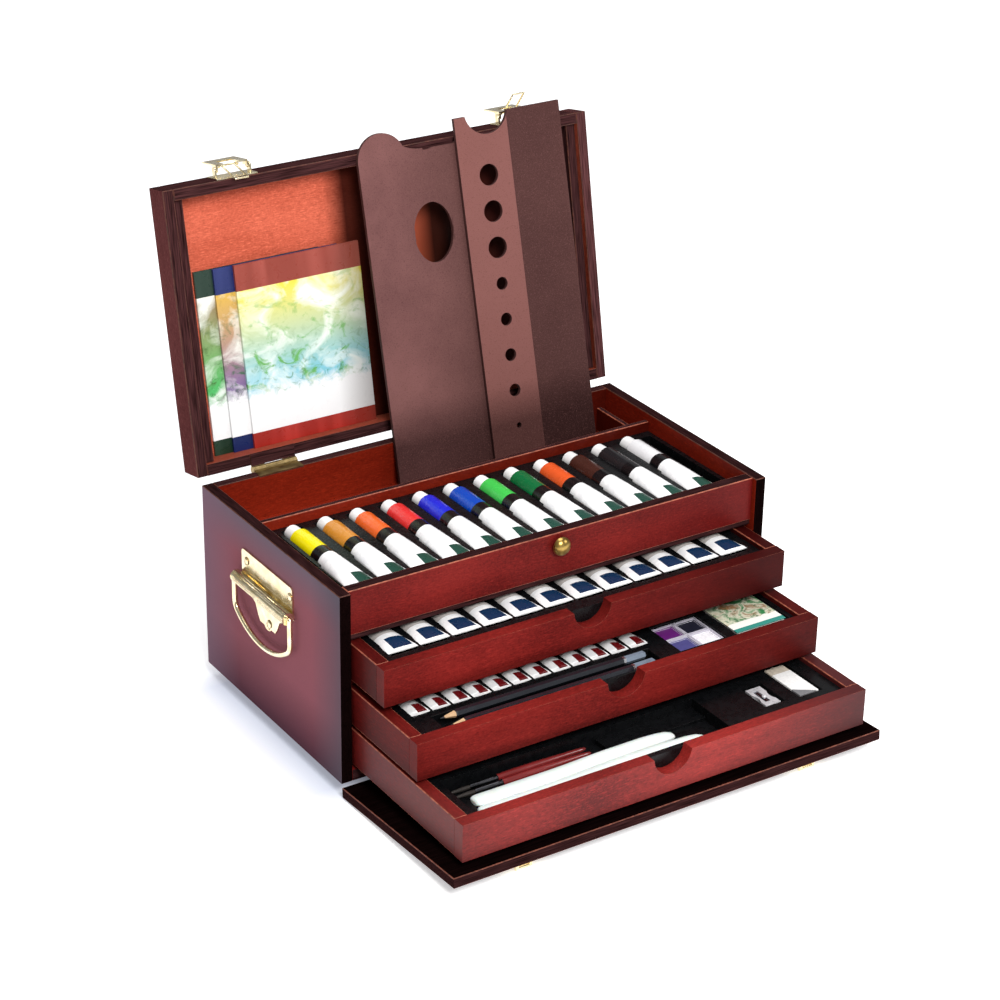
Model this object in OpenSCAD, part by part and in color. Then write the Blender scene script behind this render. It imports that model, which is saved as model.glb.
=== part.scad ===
// Wooden art supply box: opened lid, dropped front, three pulled-out drawers, tray, palettes, booklets.
// Origin: floor level, middle of the footprint of the opened box. +Z up, front faces -Y.
// Sizes below are laid out from the front plane of the case; at_o() carries them to the origin.

/* [Case] */
// Outer width of the case
case_w = 365; // [320:1:430]
// Outer depth of the case
case_d = 203; // [190:1:240]
// Side board thickness
wall_t = 9; // [7:0.5:12]
// Back board thickness
back_t = 8; // [6:0.5:12]
// Bottom board thickness
bottom_t = 9; // [6:0.5:12]
// Height of the hidden feet
feet_h = 11; // [9:0.5:16]
// Deck board thickness
deck_t = 4.3; // [3:0.1:8]
// Height of the fixed front rail above the deck
rail_h = 34.5; // [30:0.5:60]
// Set-back of the front rail from the case front
rail_back = 4; // [0:0.5:8]
// Front rail thickness
rail_t = 9; // [6:0.5:12]
// Width of the runner strips
runner_w = 12; // [6:0.5:12]
// Depth of the palette slot behind the divider
slot_d = 54; // [45:1:60]

/* [Drawers] */
// Drawer height
drawer_h = 29; // [26:0.5:40]
// Drawer depth front to back
drawer_d = 188; // [150:1:188]
// Side gap between drawer and case
drawer_gap = 2; // [0.5:0.5:3]
// Drawer wall thickness
drawer_t = 10; // [6:0.5:12]
// Running clearance under a drawer
run_gap = 0.05; // [0.03:0.01:0.3]
// Air above a drawer
drawer_air = 0.6; // [0.3:0.1:2]
// How far drawer 1 (top) stands out
out_1 = 44.5; // [0:0.5:120]
// How far drawer 2 stands out
out_2 = 87.8; // [0:0.1:140]
// How far drawer 3 (bottom) stands out
out_3 = 145.6; // [0:0.1:150]
// Radius of the finger notch
notch_r = 16; // [10:0.5:24]
// Depth of the finger notch
notch_d = 15; // [8:0.5:16]

/* [Lid] */
// Lid size along the case depth
lid_d = 214; // [205:1:250]
// Lid height
lid_h = 22.5; // [20:0.5:40]
// Lid rim board thickness
rim_t = 8.5; // [6:0.5:12]
// Lid panel thickness
panel_t = 4.5; // [3:0.5:8]
// Opening angle of the lid
lid_open = 100.84; // [92:0.02:110]

/* [Drop front] */
// Thickness of the drop front
flap_t = 8; // [6:0.5:12]
// Tilt of the drop front where it rests
flap_tilt = 3.56; // [3:0.01:4]

/* [Hardware] */
// Distance of hinges from the middle
hinge_x = 120; // [80:1:140]
// Distance of latches and strikes from the middle
latch_x = 121.7; // [80:0.1:140]
// Radial clearance of pins in bores
pin_gap = 0.05; // [0.02:0.01:0.1]
// Bail wire diameter
bail_d = 4; // [3:0.5:6]
// Handle height above the case underside
handle_z = 104; // [90:1:120]
// Handle centre from the case front
handle_y = 102.25; // [80:0.25:120]

/* [Contents] */
// Distance of the first and last tube axis from the ends of the top tray
tube_side = 25.4; // [22:0.1:30]
// Distance of the first and last tube axis from the ends of the drawer 1 tray
tube_1_side = 19.05; // [16:0.05:24]
// Radius of a large tube
tube_r = 8.5; // [7:0.1:9]
// Width of the folded end of a large tube
tube_w = 19.5; // [16:0.5:21]
// Length of a large tube in drawer 1
tube_l = 102; // [90:1:106]
// Radius of a small tube
small_r = 6; // [5:0.1:6.3]
// Width of the folded end of a small tube
small_w = 13.6; // [11:0.1:14]
// Length of a small tube
small_l = 75; // [60:1:78]
// Length of a pencil
pencil_l = 171; // [140:1:176]
// Radius of a pencil over its corners
pencil_r = 3.5; // [3:0.1:4]
// Palette thickness
pal_t = 3; // [2:0.5:5]
// Palette width
pal_w = 95; // [80:1:100]
// Height of the straight palette over its pivot line
pal_h = 234; // [200:1:240]
// Height of the round-shouldered palette over its pivot line
pal_1_h = 216; // [190:1:220]
// Gap between the straight palette and the right side board
pal_side = 19; // [6:1:30]
// Radius of the thumb hole
thumb_r = 17; // [12:0.5:20]
// Lean of the palettes from upright
pal_lean = 14.34; // [10:0.01:20]
// Booklet width
book_w = 105; // [90:1:110]
// Booklet height
book_h = 139.5; // [120:0.5:150]

/* [Hidden] */
e = 0.01;
in_w = case_w - 2*wall_t;              // inside width of the case
in_y = case_d - back_t;                // inside face of the back board
zb = feet_h;                           // underside of the case
glide_t = 2.45; runner2_t = 2.45; runner1_t = 5.75; deck_air = 2.2;
z_g3 = zb + bottom_t;
z_d3 = z_g3 + glide_t + run_gap;
z_g2 = z_d3 + drawer_h + drawer_air;
z_d2 = z_g2 + runner2_t + run_gap;
z_g1 = z_d2 + drawer_h + drawer_air;
z_d1 = z_g1 + runner1_t + run_gap;
z_deck = z_d1 + drawer_h + deck_air;   // underside of the deck
z_fl = z_deck + deck_t;                // top of the deck
z_top = z_fl + rail_h;                 // top of the case
case_h = z_top - zb;
rail_y1 = rail_back + rail_t;
slot_y = in_y - slot_d;                // back face of the divider
div_t = 4.5;
div_h = rail_h - 6;
tray_h = rail_h - 14;                  // top tray height
draw_w = in_w - 2*drawer_gap;
draw_back = rail_back + drawer_d;      // back of a closed drawer
tray_w = draw_w - 2*drawer_t;
// drop front
fa_y = 1.25; fa_z = zb - 0.83;         // drop front hinge axis
f_in = -(fa_y + 0.6);                  // inner face, closed 0.6 in front of the case
f_out = f_in - flap_t;
f_end = -1.44;                         // hinge end
f_far = -(z_top - fa_z);               // free end, flush with the case top when closed
fk_r = 2; fl_t = 1;                    // drop front knuckle radius and leaf
fh_w = 34;
strike_l = f_far + 9.5;                // strike centre along the drop front
tip_r = 1.6;                           // rounded strike tip, touching the floor
strike_tip = (tip_r - fa_z + strike_l*sin(flap_tilt))/cos(flap_tilt);
// lid
la_y = case_d + 3.8; la_z = z_top - 0.4;
l_bk = -3.8; l_fr = l_bk - lid_d;      // back and front faces, closed, from the axis
l_rim = 1.0;                           // rim plane above the axis, closed
l_top = l_rim + lid_h;
l_pan = l_top - panel_t;               // panel inner face
cleat_t = 8; cleat_drop = 4;
lk_r = 2.8; lh_w = 37;
// latch
lat_a = [9, 6];                        // lever axis: distance from rim plane, height over the face
lat_b = [15, 7.7];                     // loop axis
loop_l = 22.5; loop_w = 10; loop_r = 0.7;
// palettes
pal_y = in_y - 1.3; pal_z = z_top - 0.3;
pal_lo = -(pal_z - z_fl - 0.12)/cos(pal_lean);
pal_gap = 0.3;
// the case front lies oy from the origin, so the origin is under the middle of the whole box as it stands
lever_n = 30; lever_h = 10.2;          // tip of a latch lever, the rearmost point
oy = -(fa_y + f_far*cos(flap_tilt) + f_out*sin(flap_tilt)
  + la_y + (l_fr - lever_h)*cos(lid_open) + (l_rim + lever_n)*sin(lid_open))/2;

wood_c = [0.36, 0.10, 0.08]; dark_c = [0.20, 0.07, 0.08]; brass_c = [0.85, 0.68, 0.35];
black_c = [0.05, 0.05, 0.05]; in_c = [0.62, 0.22, 0.13];

module at_o() { translate([0, oy, 0]) children(); }
module at_flap() { translate([0, fa_y, fa_z]) rotate([-flap_tilt, 0, 0]) children(); }
module at_lid() { translate([0, la_y, la_z]) rotate([-lid_open, 0, 0]) children(); }
module at_pal() { translate([0, pal_y, pal_z]) rotate([-pal_lean, 0, 0]) children(); }
module xcyl(r, l) { rotate([0, 90, 0]) cylinder(r = r, h = l, center = true, $fn = 32); }
module ycyl(r, l) { rotate([90, 0, 0]) cylinder(r = r, h = l, center = true, $fn = 32); }
module box(a, b) { translate(a) cube(b - a); }

// ---- case ----
module case_left_side() at_o() color(dark_c) box([-case_w/2, 0, zb], [-in_w/2, case_d, z_top]);
module case_right_side() at_o() color(dark_c) box([in_w/2, 0, zb], [case_w/2, case_d, z_top]);
module case_back() at_o() color(in_c) difference() {
  box([-in_w/2, in_y, zb], [in_w/2, case_d, z_top]);
  for (s = [-1, 1]) translate([s*hinge_x, 0, 0])
    box([-lh_w/2, in_y - 1, la_z - 0.6], [lh_w/2, case_d + 1, z_top + 1]);
}
module case_bottom() at_o() color(wood_c) difference() {
  box([-in_w/2, 0, zb], [in_w/2, in_y, zb + bottom_t]);
  for (s = [-1, 1]) translate([s*hinge_x, 0, 0])
    box([-fh_w/2 - 0.5, -1, zb - 1], [fh_w/2 + 0.5, fa_y + fk_r + 0.3, fa_z + fk_r + 0.3]);
}
module deck_board() at_o() color(wood_c) box([-in_w/2, rail_back + 1, z_deck], [in_w/2, in_y, z_fl]);
module front_rail() at_o() color(wood_c) box([-in_w/2, rail_back, z_fl], [in_w/2, rail_y1, z_top]);
module divider_rail() at_o() color(in_c) {
  box([-in_w/2, slot_y - div_t, z_fl], [in_w/2, slot_y, z_fl + div_h]);
  box([in_w/2 - 8.5, slot_y, z_fl], [in_w/2 - 4.5, in_y, z_fl + div_h - 9]);
}
run_k = [[z_g3, glide_t], [z_g2, runner2_t], [z_g1, runner1_t]];
module drawer_runners() at_o() color(wood_c) for (s = [-1, 1]) for (k = run_k)
  box([min(s*in_w/2, s*(in_w/2 - runner_w)), rail_back + 4, k[0]],
      [max(s*in_w/2, s*(in_w/2 - runner_w)), in_y, k[0] + k[1]]);
module feet() at_o() color(black_c) for (x = [-1, 1]) for (y = [34, case_d - 34])
  translate([x*(case_w/2 - 36), y, 0]) cylinder(r = 10, h = feet_h, $fn = 48);
module knob() at_o() color(brass_c) translate([0, rail_back, z_top - 9.8]) rotate([90, 0, 0])
  rotate_extrude($fn = 48) {
    square([4.4, 2.4]);
    translate([0, 2]) intersection() {
      circle(r = 7.2, $fn = 64);
      translate([0, -0.6]) square([8, 7]);
    }
  }

// ---- handles: plate with a rolled, grooved barrel; the bail pins turn in the barrel ----
hb_r = 4.75; hb_l = 78; plate_t = 1.4; bail_half = hb_l/2 + 0.4 + bail_d/2;
module handle_plate() translate([-case_w/2, handle_y, zb + handle_z]) {
  rotate([90, 0, -90]) linear_extrude(plate_t) difference() {
    union() {
      translate([-bail_half + 4, -4]) square([2*bail_half - 8, 22 + 1]);
      translate([-bail_half + 7, -4]) square([2*bail_half - 14, 26]);
      for (s = [-1, 1]) translate([s*(bail_half - 7), 19]) circle(r = 3, $fn = 32);
      polygon([[-bail_half + 6, 0], [-bail_half + 9, -8], [-18, -14], [-14, -22], [-11, -26],
               [11, -26], [14, -22], [18, -14], [bail_half - 9, -8], [bail_half - 6, 0]]);
      translate([0, -22]) circle(r = 6.5, $fn = 40);
    }
    for (p = hs_p) translate(p) circle(r = 1.5, $fn = 24);
  }
  difference() {
    union() {
      translate([-plate_t - hb_r + 0.4, 0, 0]) ycyl(hb_r - 0.45, hb_l);
      for (i = [-8:8]) translate([-plate_t - hb_r + 0.4, i*(hb_l - 3)/16, 0]) ycyl(hb_r, 3);
      box([-plate_t - hb_r + 0.4, -hb_l/2, -2], [-plate_t + 0.1, hb_l/2, 2]);
    }
    for (s = [-1, 1]) translate([-plate_t - hb_r + 0.4, s*(hb_l/2 - 5), 0])
      ycyl(bail_d*0.4 + pin_gap, 10.02);
  }
  for (p = hs_p) translate([0, -p[0], p[1]]) rotate([0, -90, 0]) {
    cylinder(r = 1.5, h = plate_t + 0.3, $fn = 24);
    translate([0, 0, plate_t]) cylinder(r1 = 2.9, r2 = 1.6, h = 1, $fn = 32);
  }
}
hs_p = [[-30, 14.2], [34, 14.2], [2.5, -22.2]];
b_el = 53; b_sr = 10; b_c = bail_half - b_sr; b_st = 20;
b_R = b_c/cos(b_el) + b_sr; b_cz = -b_st + b_c*tan(b_el);
module arc(R, a0, a1) rotate([90, 0, 90]) rotate([0, 0, a0]) rotate_extrude(angle = a1 - a0, $fn = 120)
  translate([R, 0]) circle(d = bail_d, $fn = 28);
module bail() translate([-case_w/2 - plate_t - hb_r + 0.4, handle_y, zb + handle_z]) {
  for (s = [-1, 1]) {
    translate([0, s*bail_half, -b_st]) cylinder(d = bail_d, h = b_st, $fn = 32);
    translate([0, s*bail_half, 0]) sphere(d = bail_d + 0.04, $fn = 32);
    translate([0, s*bail_half, -b_st]) sphere(d = bail_d + 0.04, $fn = 32);
    translate([0, s*(b_c + b_sr*cos(b_el)), -b_st - b_sr*sin(b_el)]) sphere(d = bail_d + 0.04, $fn = 32);
    translate([0, s*(bail_half - 4.5), 0]) ycyl(bail_d*0.4, 9);
  }
  translate([0, b_c, -b_st]) arc(b_sr, -b_el, 0);
  translate([0, -b_c, -b_st]) arc(b_sr, 180, 180 + b_el);
  translate([0, 0, b_cz]) arc(b_R, 180 + b_el, 360 - b_el);
}
module handle_plate_left() at_o() color(brass_c) handle_plate();
module handle_plate_right() at_o() color(brass_c) mirror([1, 0, 0]) handle_plate();
module bail_left() at_o() color(brass_c) bail();
module bail_right() at_o() color(brass_c) mirror([1, 0, 0]) bail();

// ---- hinges: three knuckles each, middle one fixed to the case ----
module knuckle(r, x0, x1, hole) difference() {
  translate([(x0 + x1)/2, 0, 0]) xcyl(r, x1 - x0);
  translate([(x0 + x1)/2, 0, 0]) xcyl(hole + pin_gap, x1 - x0 + 1);
}
fpin_r = 0.9; lpin_r = 1.3;
module case_leaf(w, r, hole, y0, y1, z0, z1) difference() {
  union() {
    box([-w/2, y0, z0], [w/2, y1, z1]);
    translate([0, 0, 0]) xcyl(r, w*0.4);
  }
  xcyl(hole + pin_gap, w + 1);
  for (s = [-1, 1]) translate([s*(w*0.35 + 0.1), 0, 0]) xcyl(r + 0.3, w*0.3 + 0.3);
}
module moving_leaf(w, r, hole, y0, y1, z0, z1) difference() {
  union() {
    box([-w/2, y0, z0], [w/2, y1, z1]);
    for (s = [-1, 1]) translate([s*w*0.35, 0, 0]) xcyl(r, w*0.3);
  }
  xcyl(hole + pin_gap, w + 1);
  xcyl(r + 0.3, w*0.4 + 0.3);
}
module hinge_case_leaves() at_o() color(brass_c) for (s = [-1, 1]) {
  translate([s*hinge_x, la_y, la_z]) case_leaf(lh_w, lk_r, lpin_r, in_y - la_y, 0, -0.6, 0.4);
  translate([s*hinge_x, fa_y, fa_z]) case_leaf(fh_w, fk_r, fpin_r, 0, 11, -0.17, zb - fa_z);
}
module hinge_pins() at_o() color(brass_c) for (s = [-1, 1]) {
  translate([s*hinge_x, la_y, la_z]) xcyl(lpin_r, lh_w);
  translate([s*hinge_x, fa_y, fa_z]) xcyl(fpin_r, fh_w);
}

// ---- lid, built closed about its hinge axis, then turned open ----
module lid_sides() at_o() color(dark_c) at_lid() for (s = [-1, 1])
  box([min(s*case_w/2, s*(case_w/2 - rim_t)), l_fr, l_rim],
      [max(s*case_w/2, s*(case_w/2 - rim_t)), l_bk, l_top]);
module lid_front_rail() at_o() color(dark_c) at_lid()
  box([-case_w/2 + rim_t, l_fr, l_rim], [case_w/2 - rim_t, l_fr + rim_t, l_top]);
module lid_back_rail() at_o() color(dark_c) at_lid() difference() {
  box([-case_w/2 + rim_t, l_bk - rim_t, l_rim], [case_w/2 - rim_t, l_bk, l_top]);
  for (s = [-1, 1]) translate([s*hinge_x, 0, 0]) box([-lh_w/2, l_bk - rim_t, 0], [lh_w/2, 1, l_rim + 0.4]);
}
module lid_panel() at_o() color(in_c) at_lid()
  box([-case_w/2 + rim_t, l_fr + rim_t, l_pan], [case_w/2 - rim_t, l_bk - rim_t, l_top]);
module lid_cleats() at_o() color(dark_c) at_lid() for (s = [-1, 1])
  box([min(s*(case_w/2 - rim_t), s*(case_w/2 - rim_t - cleat_t)), l_fr + rim_t, l_rim + cleat_drop],
      [max(s*(case_w/2 - rim_t), s*(case_w/2 - rim_t - cleat_t)), l_bk - rim_t, l_pan]);
module lid_hinge_leaves() at_o() color(brass_c) at_lid() for (s = [-1, 1]) translate([s*hinge_x, 0, 0])
  moving_leaf(lh_w, lk_r, lpin_r, l_bk - rim_t, 0, l_rim - 0.6, l_rim + 0.4);

// ---- latches: n runs from the rim plane, h out of the face ----
module at_latch(s) at_lid() translate([s*latch_x, l_fr, l_rim]) rotate([90, 0, 0]) children();
// inside at_latch: x across, y = n, z = h
module latch_bases() at_o() color(brass_c) for (s = [-1, 1]) at_latch(s) {
  box([-16.5, 1, 0], [16.5, 17, 1.2]);
  for (t = [-1, 1]) {
    box([min(t*13.4, t*14.8), lat_a[0] - 2.4, 1.2 - e], [max(t*13.4, t*14.8), lat_a[0] + 2.4, lat_a[1]]);
    translate([t*14.1, lat_a[0], lat_a[1]]) xcyl(2.4, 1.4);
    translate([t*12.7, lat_a[0], lat_a[1]]) xcyl(0.8, 1.8);
  }
}
module latch_lever() difference() {
  union() {
    difference() {
      box([-13, 8, 9], [13, lever_n, lever_h]);
      box([-6.5, 7, 8], [6.5, 22, 11]);
    }
    for (t = [-1, 1]) {
      box([min(t*11.8, t*13), lat_a[0] - 1.8, lat_a[1]], [max(t*11.8, t*13), lat_a[0] + 6, 9 + e]);
      translate([t*12.4, lat_a[0], lat_a[1]]) xcyl(1.8, 1.2);
      box([min(t*6.9, t*8.3), lat_b[0] - 1.6, lat_b[1]], [max(t*6.9, t*8.3), lat_b[0] + 1.6, 9 + e]);
      translate([t*7.6, lat_b[0], lat_b[1]]) xcyl(1.6, 1.4);
    }
  }
  translate([0, lat_a[0], lat_a[1]]) xcyl(0.8 + pin_gap, 40);
  translate([0, lat_b[0], lat_b[1]]) xcyl(loop_r + pin_gap, 40);
}
module latch_loop(a) translate([0, lat_b[0], lat_b[1]]) rotate([a, 0, 0]) {
  xcyl(loop_r, 16.6);
  for (t = [-1, 1]) translate([t*loop_w/2, -loop_l/2, 0]) ycyl(loop_r, loop_l);
  for (t = [-1, 1]) translate([t*loop_w/2, -loop_l, 0]) sphere(r = loop_r, $fn = 24);
  translate([0, -loop_l, 0]) xcyl(loop_r, loop_w);
}
loop_hang = 19.5; loop_lean = -43;
module latch_lever_left() at_o() color(brass_c) at_latch(-1) latch_lever();
module latch_lever_right() at_o() color(brass_c) at_latch(1) latch_lever();
module latch_loop_left() at_o() color(brass_c) at_latch(-1) latch_loop(loop_hang);
module latch_loop_right() at_o() color(brass_c) at_latch(1) latch_loop(loop_lean);

// ---- drop front ----
module drop_front() at_o() color(dark_c) at_flap() box([-case_w/2, f_far, f_out], [case_w/2, f_end, f_in]);
module drop_front_hinge_leaves() at_o() color(brass_c) at_flap()
  for (s = [-1, 1]) translate([s*hinge_x, 0, 0])
    moving_leaf(fh_w, fk_r, fpin_r, f_end, f_end + fl_t, f_out + 0.6, -0.4);
module strikes() at_o() color(brass_c) at_flap() for (s = [-1, 1]) translate([s*latch_x, strike_l, 0]) {
  box([-15, -6, f_out - 1.5], [15, 6, f_out]);
  for (t = [-1, 1]) box([min(t*4.4, t*6.5), -tip_r, strike_tip], [max(t*4.4, t*6.5), tip_r, f_out - 1]);
  translate([0, 0, strike_tip]) xcyl(tip_r, 13);
}

// ---- drawers; z0 underside, out = how far it stands out ----
module d_front(z0, out) color(wood_c) translate([0, rail_back - out, z0]) difference() {
  box([-draw_w/2, 0, 0], [draw_w/2, drawer_t, drawer_h]);
  translate([0, drawer_t/2, drawer_h + notch_r - notch_d]) ycyl2(notch_r, drawer_t + 2);
}
module ycyl2(r, l) rotate([90, 0, 0]) cylinder(r = r, h = l, center = true, $fn = 96);
module d_frame(z0, out) color(wood_c) translate([0, rail_back - out, z0]) {
  for (s = [-1, 1])
    box([min(s*draw_w/2, s*tray_w/2), drawer_t, 0], [max(s*draw_w/2, s*tray_w/2), drawer_d, drawer_h]);
  box([-tray_w/2 + 0.02, drawer_d - drawer_t, 0], [tray_w/2 - 0.02, drawer_d, drawer_h]);
}
tr_l = drawer_d - 2*drawer_t;          // inside length of a drawer
tr_z = 3.5; tr_h = drawer_h - tr_z - 3.6; tr_t = 1.6;
module d_bottom(z0, out) color(wood_c) translate([0, rail_back - out, z0])
  box([-tray_w/2, drawer_t, 0.5], [tray_w/2, drawer_d - drawer_t, tr_z]);
// thin moulded insert: children are its pockets, drawn at their inside size plus g all round
module tub(w, l, h, t) {
  difference() {
    box([-w/2, 0, 0], [w/2, l, h]);
    box([-w/2 + t, t, -1], [w/2 - t, l - t, h - t]);
  }
}
module pocket(x0, y0, x1, y1, z, g) box([x0 - g, y0 - g, z - g], [x1 + g, y1 + g, 60]);
module groove(r, y0, l, z, g) {
  translate([0, y0 - g, z]) rotate([-90, 0, 0]) cylinder(r = r + 0.3 + g, h = l + 2*g, $fn = 40);
  box([-r - 0.3 - g, y0 - g, z], [r + 0.3 + g, y0 + l + g, 60]);
}
module d_tray(z0, out) color(black_c) translate([0, rail_back - out + drawer_t, z0 + tr_z]) difference() {
  union() {
    tub(tray_w - 0.4, tr_l - 0.2, tr_h, tr_t);
    intersection() {
      translate([0, 0, 0]) box([-tray_w/2 + 0.2, 0, 0], [tray_w/2 - 0.2, tr_l - 0.2, tr_h]);
      children(0);
    }
  }
  children(1);
}
// drawer-local helper: world y to tray y
function ty(y, out) = y - (rail_back - out + drawer_t);

// drawer 1: twelve tubes
t1_pitch = (tray_w - 2*tube_1_side)/11;
t1_y = rail_back - out_1 + 23; t1_z = 19; // folded ends, and axis height over the drawer underside
function t1_x(i) = (i - 5.5)*t1_pitch;
module tube(r, w, l) { // axis +Y from the flat end at 0
  hull() {
    translate([0, 0.4, 0]) cube([w, 0.8, 1.4], center = true);
    translate([0, l*0.5, 0]) rotate([-90, 0, 0]) cylinder(r = r, h = 0.5, $fn = 28);
  }
  translate([0, l*0.5, 0]) rotate([-90, 0, 0]) cylinder(r = r, h = l*0.38, $fn = 28);
  translate([0, l*0.88 - e, 0]) rotate([-90, 0, 0]) cylinder(r = r*0.8, h = l*0.12, $fn = 28);
}
b1 = ty(t1_y, out_1);                   // folded ends, from the front of the tray
module p1(g) {
  for (i = [0:11]) translate([t1_x(i), 0, 0]) {
    groove(tube_r, b1 - 2, tube_l + 5, t1_z - tr_z, g);
    pocket(-tube_w/2 - 0.75, b1 - 2, tube_w/2 + 0.75, b1 + tube_l*0.43, t1_z - tr_z - 3, g);
  }
  pocket(-tray_w/2 + 10, b1 + tube_l + 11, tray_w/2 - 10, tr_l - 8, 3, g);
}
module drawer_1_front() at_o() d_front(z_d1, out_1);
module drawer_1_frame() at_o() d_frame(z_d1, out_1);
module drawer_1_bottom() at_o() d_bottom(z_d1, out_1);
module drawer_1_tray() at_o() d_tray(z_d1, out_1) { p1(tr_t); p1(0); }
module drawer_1_tubes() at_o() color([0.9, 0.9, 0.92]) for (i = [0:11])
  translate([t1_x(i), t1_y, z_d1 + t1_z]) tube(tube_r, tube_w, tube_l);

// drawer 2: small tubes, pencils, pans, pad
t2_x0 = -tray_w/2 + 16.8;
t2_pitch = (tray_w*2/3 - 31.63)/11;    // the small tubes take two thirds of the tray
t2_y = rail_back - out_2 + 39.3; t2_z = 19.8;
pan_x = tray_w/2 - 101.5; pad_x = tray_w/2 - 50.5;
pen_x = -tray_w/2 + 25.5 + min(0, (tray_w - 323)/2);
well_z = 12;                           // floor of the shallow wells over the tray underside
b2 = ty(t2_y, out_2);
module p2(g) {
  for (i = [0:11]) translate([t2_x0 + i*t2_pitch, 0, 0]) {
    groove(small_r, b2 - 2, small_l + 4, t2_z - tr_z, g);
    pocket(-small_w/2 - 0.6, b2 - 2, small_w/2 + 0.6, b2 + small_l*0.35, t2_z - tr_z - 2.5, g);
  }
  pocket(pen_x - 5, b2 - 27.8, pen_x + pencil_l + 6, b2 - 7.3, well_z, g);
  pocket(pan_x - 0.5, b2 - 22.5, pan_x + 40.5, b2 + 17, well_z, g);
  pocket(pad_x - 2, b2 - 23.5, pad_x + 46, b2 + 26.5, well_z, g);
  pocket(pan_x - 12, b2 + 36.5, pad_x + 46, b2 + 128.5, 3, g);
}
module drawer_2_front() at_o() d_front(z_d2, out_2);
module drawer_2_frame() at_o() d_frame(z_d2, out_2);
module drawer_2_bottom() at_o() d_bottom(z_d2, out_2);
module drawer_2_tray() at_o() d_tray(z_d2, out_2) { p2(tr_t); p2(0); }
module drawer_2_tubes() at_o() color([0.9, 0.9, 0.92]) for (i = [0:11])
  translate([t2_x0 + i*t2_pitch, t2_y, z_d2 + t2_z]) tube(small_r, small_w, small_l);
module pencils() at_o() color([0.2, 0.2, 0.22]) for (y = [-11.6, -23.5])
  translate([pen_x, t2_y + y, z_d2 + tr_z + well_z + pencil_r]) rotate([0, 90, 0]) {
    cylinder(r1 = 0.6, r2 = pencil_r, h = 16, $fn = 6);
    translate([0, 0, 16 - e]) cylinder(r = pencil_r, h = pencil_l - 16, $fn = 6);
  }
module paint_pans() at_o() color([0.9, 0.9, 0.9]) for (i = [0, 1]) for (j = [0, 1])
  translate([pan_x + i*20.2, t2_y - 22.1 + j*19.6, z_d2 + tr_z + well_z]) difference() {
    cube([19.8, 19.2, 8]);
    translate([1, 1, 6.4]) cube([17.8, 17.2, 3]);
  }
module sketch_pad() at_o() color([0.85, 0.85, 0.8])
  box([pad_x, t2_y - 21.5, z_d2 + tr_z + well_z], [pad_x + 44.5, t2_y + 24.5, z_d2 + drawer_h - 4]);

// drawer 3: brushes, palette knives, sharpener, eraser
w3_x = -tray_w/2 + 8.5;                // left end of the tool wells
w3_y = rail_back - out_3 + 14.6;       // front edge of the knife well
brush_z = 10.5;                        // floor of the brush well
shp_x = tray_w/2 - 61; ers_x = tray_w/2 - 31.5;
b3 = ty(w3_y, out_3);
module p3(g) {
  pocket(w3_x, b3, w3_x + 213, b3 + 28.6, well_z, g);
  pocket(w3_x, b3 + 28.5, w3_x + 129, b3 + 45, brush_z, g);
  pocket(w3_x + 128.9, b3 + 28.5, w3_x + 213, b3 + 45, brush_z + 4, g);
  pocket(shp_x - 2.5, b3 + 8, shp_x + 15.5, b3 + 37, well_z, g);
  pocket(ers_x - 2, b3 + 6.5, ers_x + 19, b3 + 53, well_z, g);
  pocket(w3_x, b3 + 53, tray_w/2 - 53.5, tr_l - 8.4, 3, g);
}
module drawer_3_front() at_o() d_front(z_d3, out_3);
module drawer_3_frame() at_o() d_frame(z_d3, out_3);
module drawer_3_bottom() at_o() d_bottom(z_d3, out_3);
module drawer_3_tray() at_o() d_tray(z_d3, out_3) { p3(tr_t); p3(0); }
br_z = z_d3 + tr_z + brush_z;
module brushes() at_o() color([0.35, 0.05, 0.07]) for (y = [39.5, 32.8])
  translate([w3_x + 3, w3_y + y, br_z + 3]) rotate([0, 90, 0]) {
    cylinder(r = 1.2, h = 18, $fn = 24);
    translate([0, 0, 18 - e]) cylinder(r = 2.2, h = 22, $fn = 24);
    translate([0, 0, 40 - 2*e]) cylinder(r = 3, h = 74, $fn = 24);
  }
module knife(x0, x1, y, w) translate([x0, y, 0]) {
  linear_extrude(2.2) polygon([[0, -1.5], [6, -w*0.5], [46, -w*0.42], [58, -2.5],
    [58, 2.5], [46, w*0.42], [6, w*0.5], [0, 1.5]]);
  box([56, -4.5, 0], [x1 - x0, 4.5, 7]);
}
module palette_knives() at_o() color([0.93, 0.95, 0.93]) {
  translate([w3_x, w3_y, z_d3 + tr_z + well_z]) knife(13, 180, 21.4, 12);
  translate([w3_x, w3_y, z_d3 + tr_z + well_z]) knife(10, 197, 7.5, 12);
}
module sharpener() at_o() color([0.75, 0.75, 0.78])
  translate([shp_x, w3_y + 10, z_d3 + tr_z + well_z]) difference() {
    box([0, 0, 0], [13, 25, 9]);
    translate([6.5, -0.5, 5]) rotate([-90, 0, 0]) cylinder(r = 3.7, h = 16, $fn = 32);
    box([1.5, 7, 6.5], [11.5, 20, 10]);
  }
module eraser() at_o() color([0.9, 0.9, 0.88])
  translate([ers_x, w3_y + 8.5, z_d3 + tr_z + well_z]) cube([17, 42.5, 9.5]);

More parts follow.
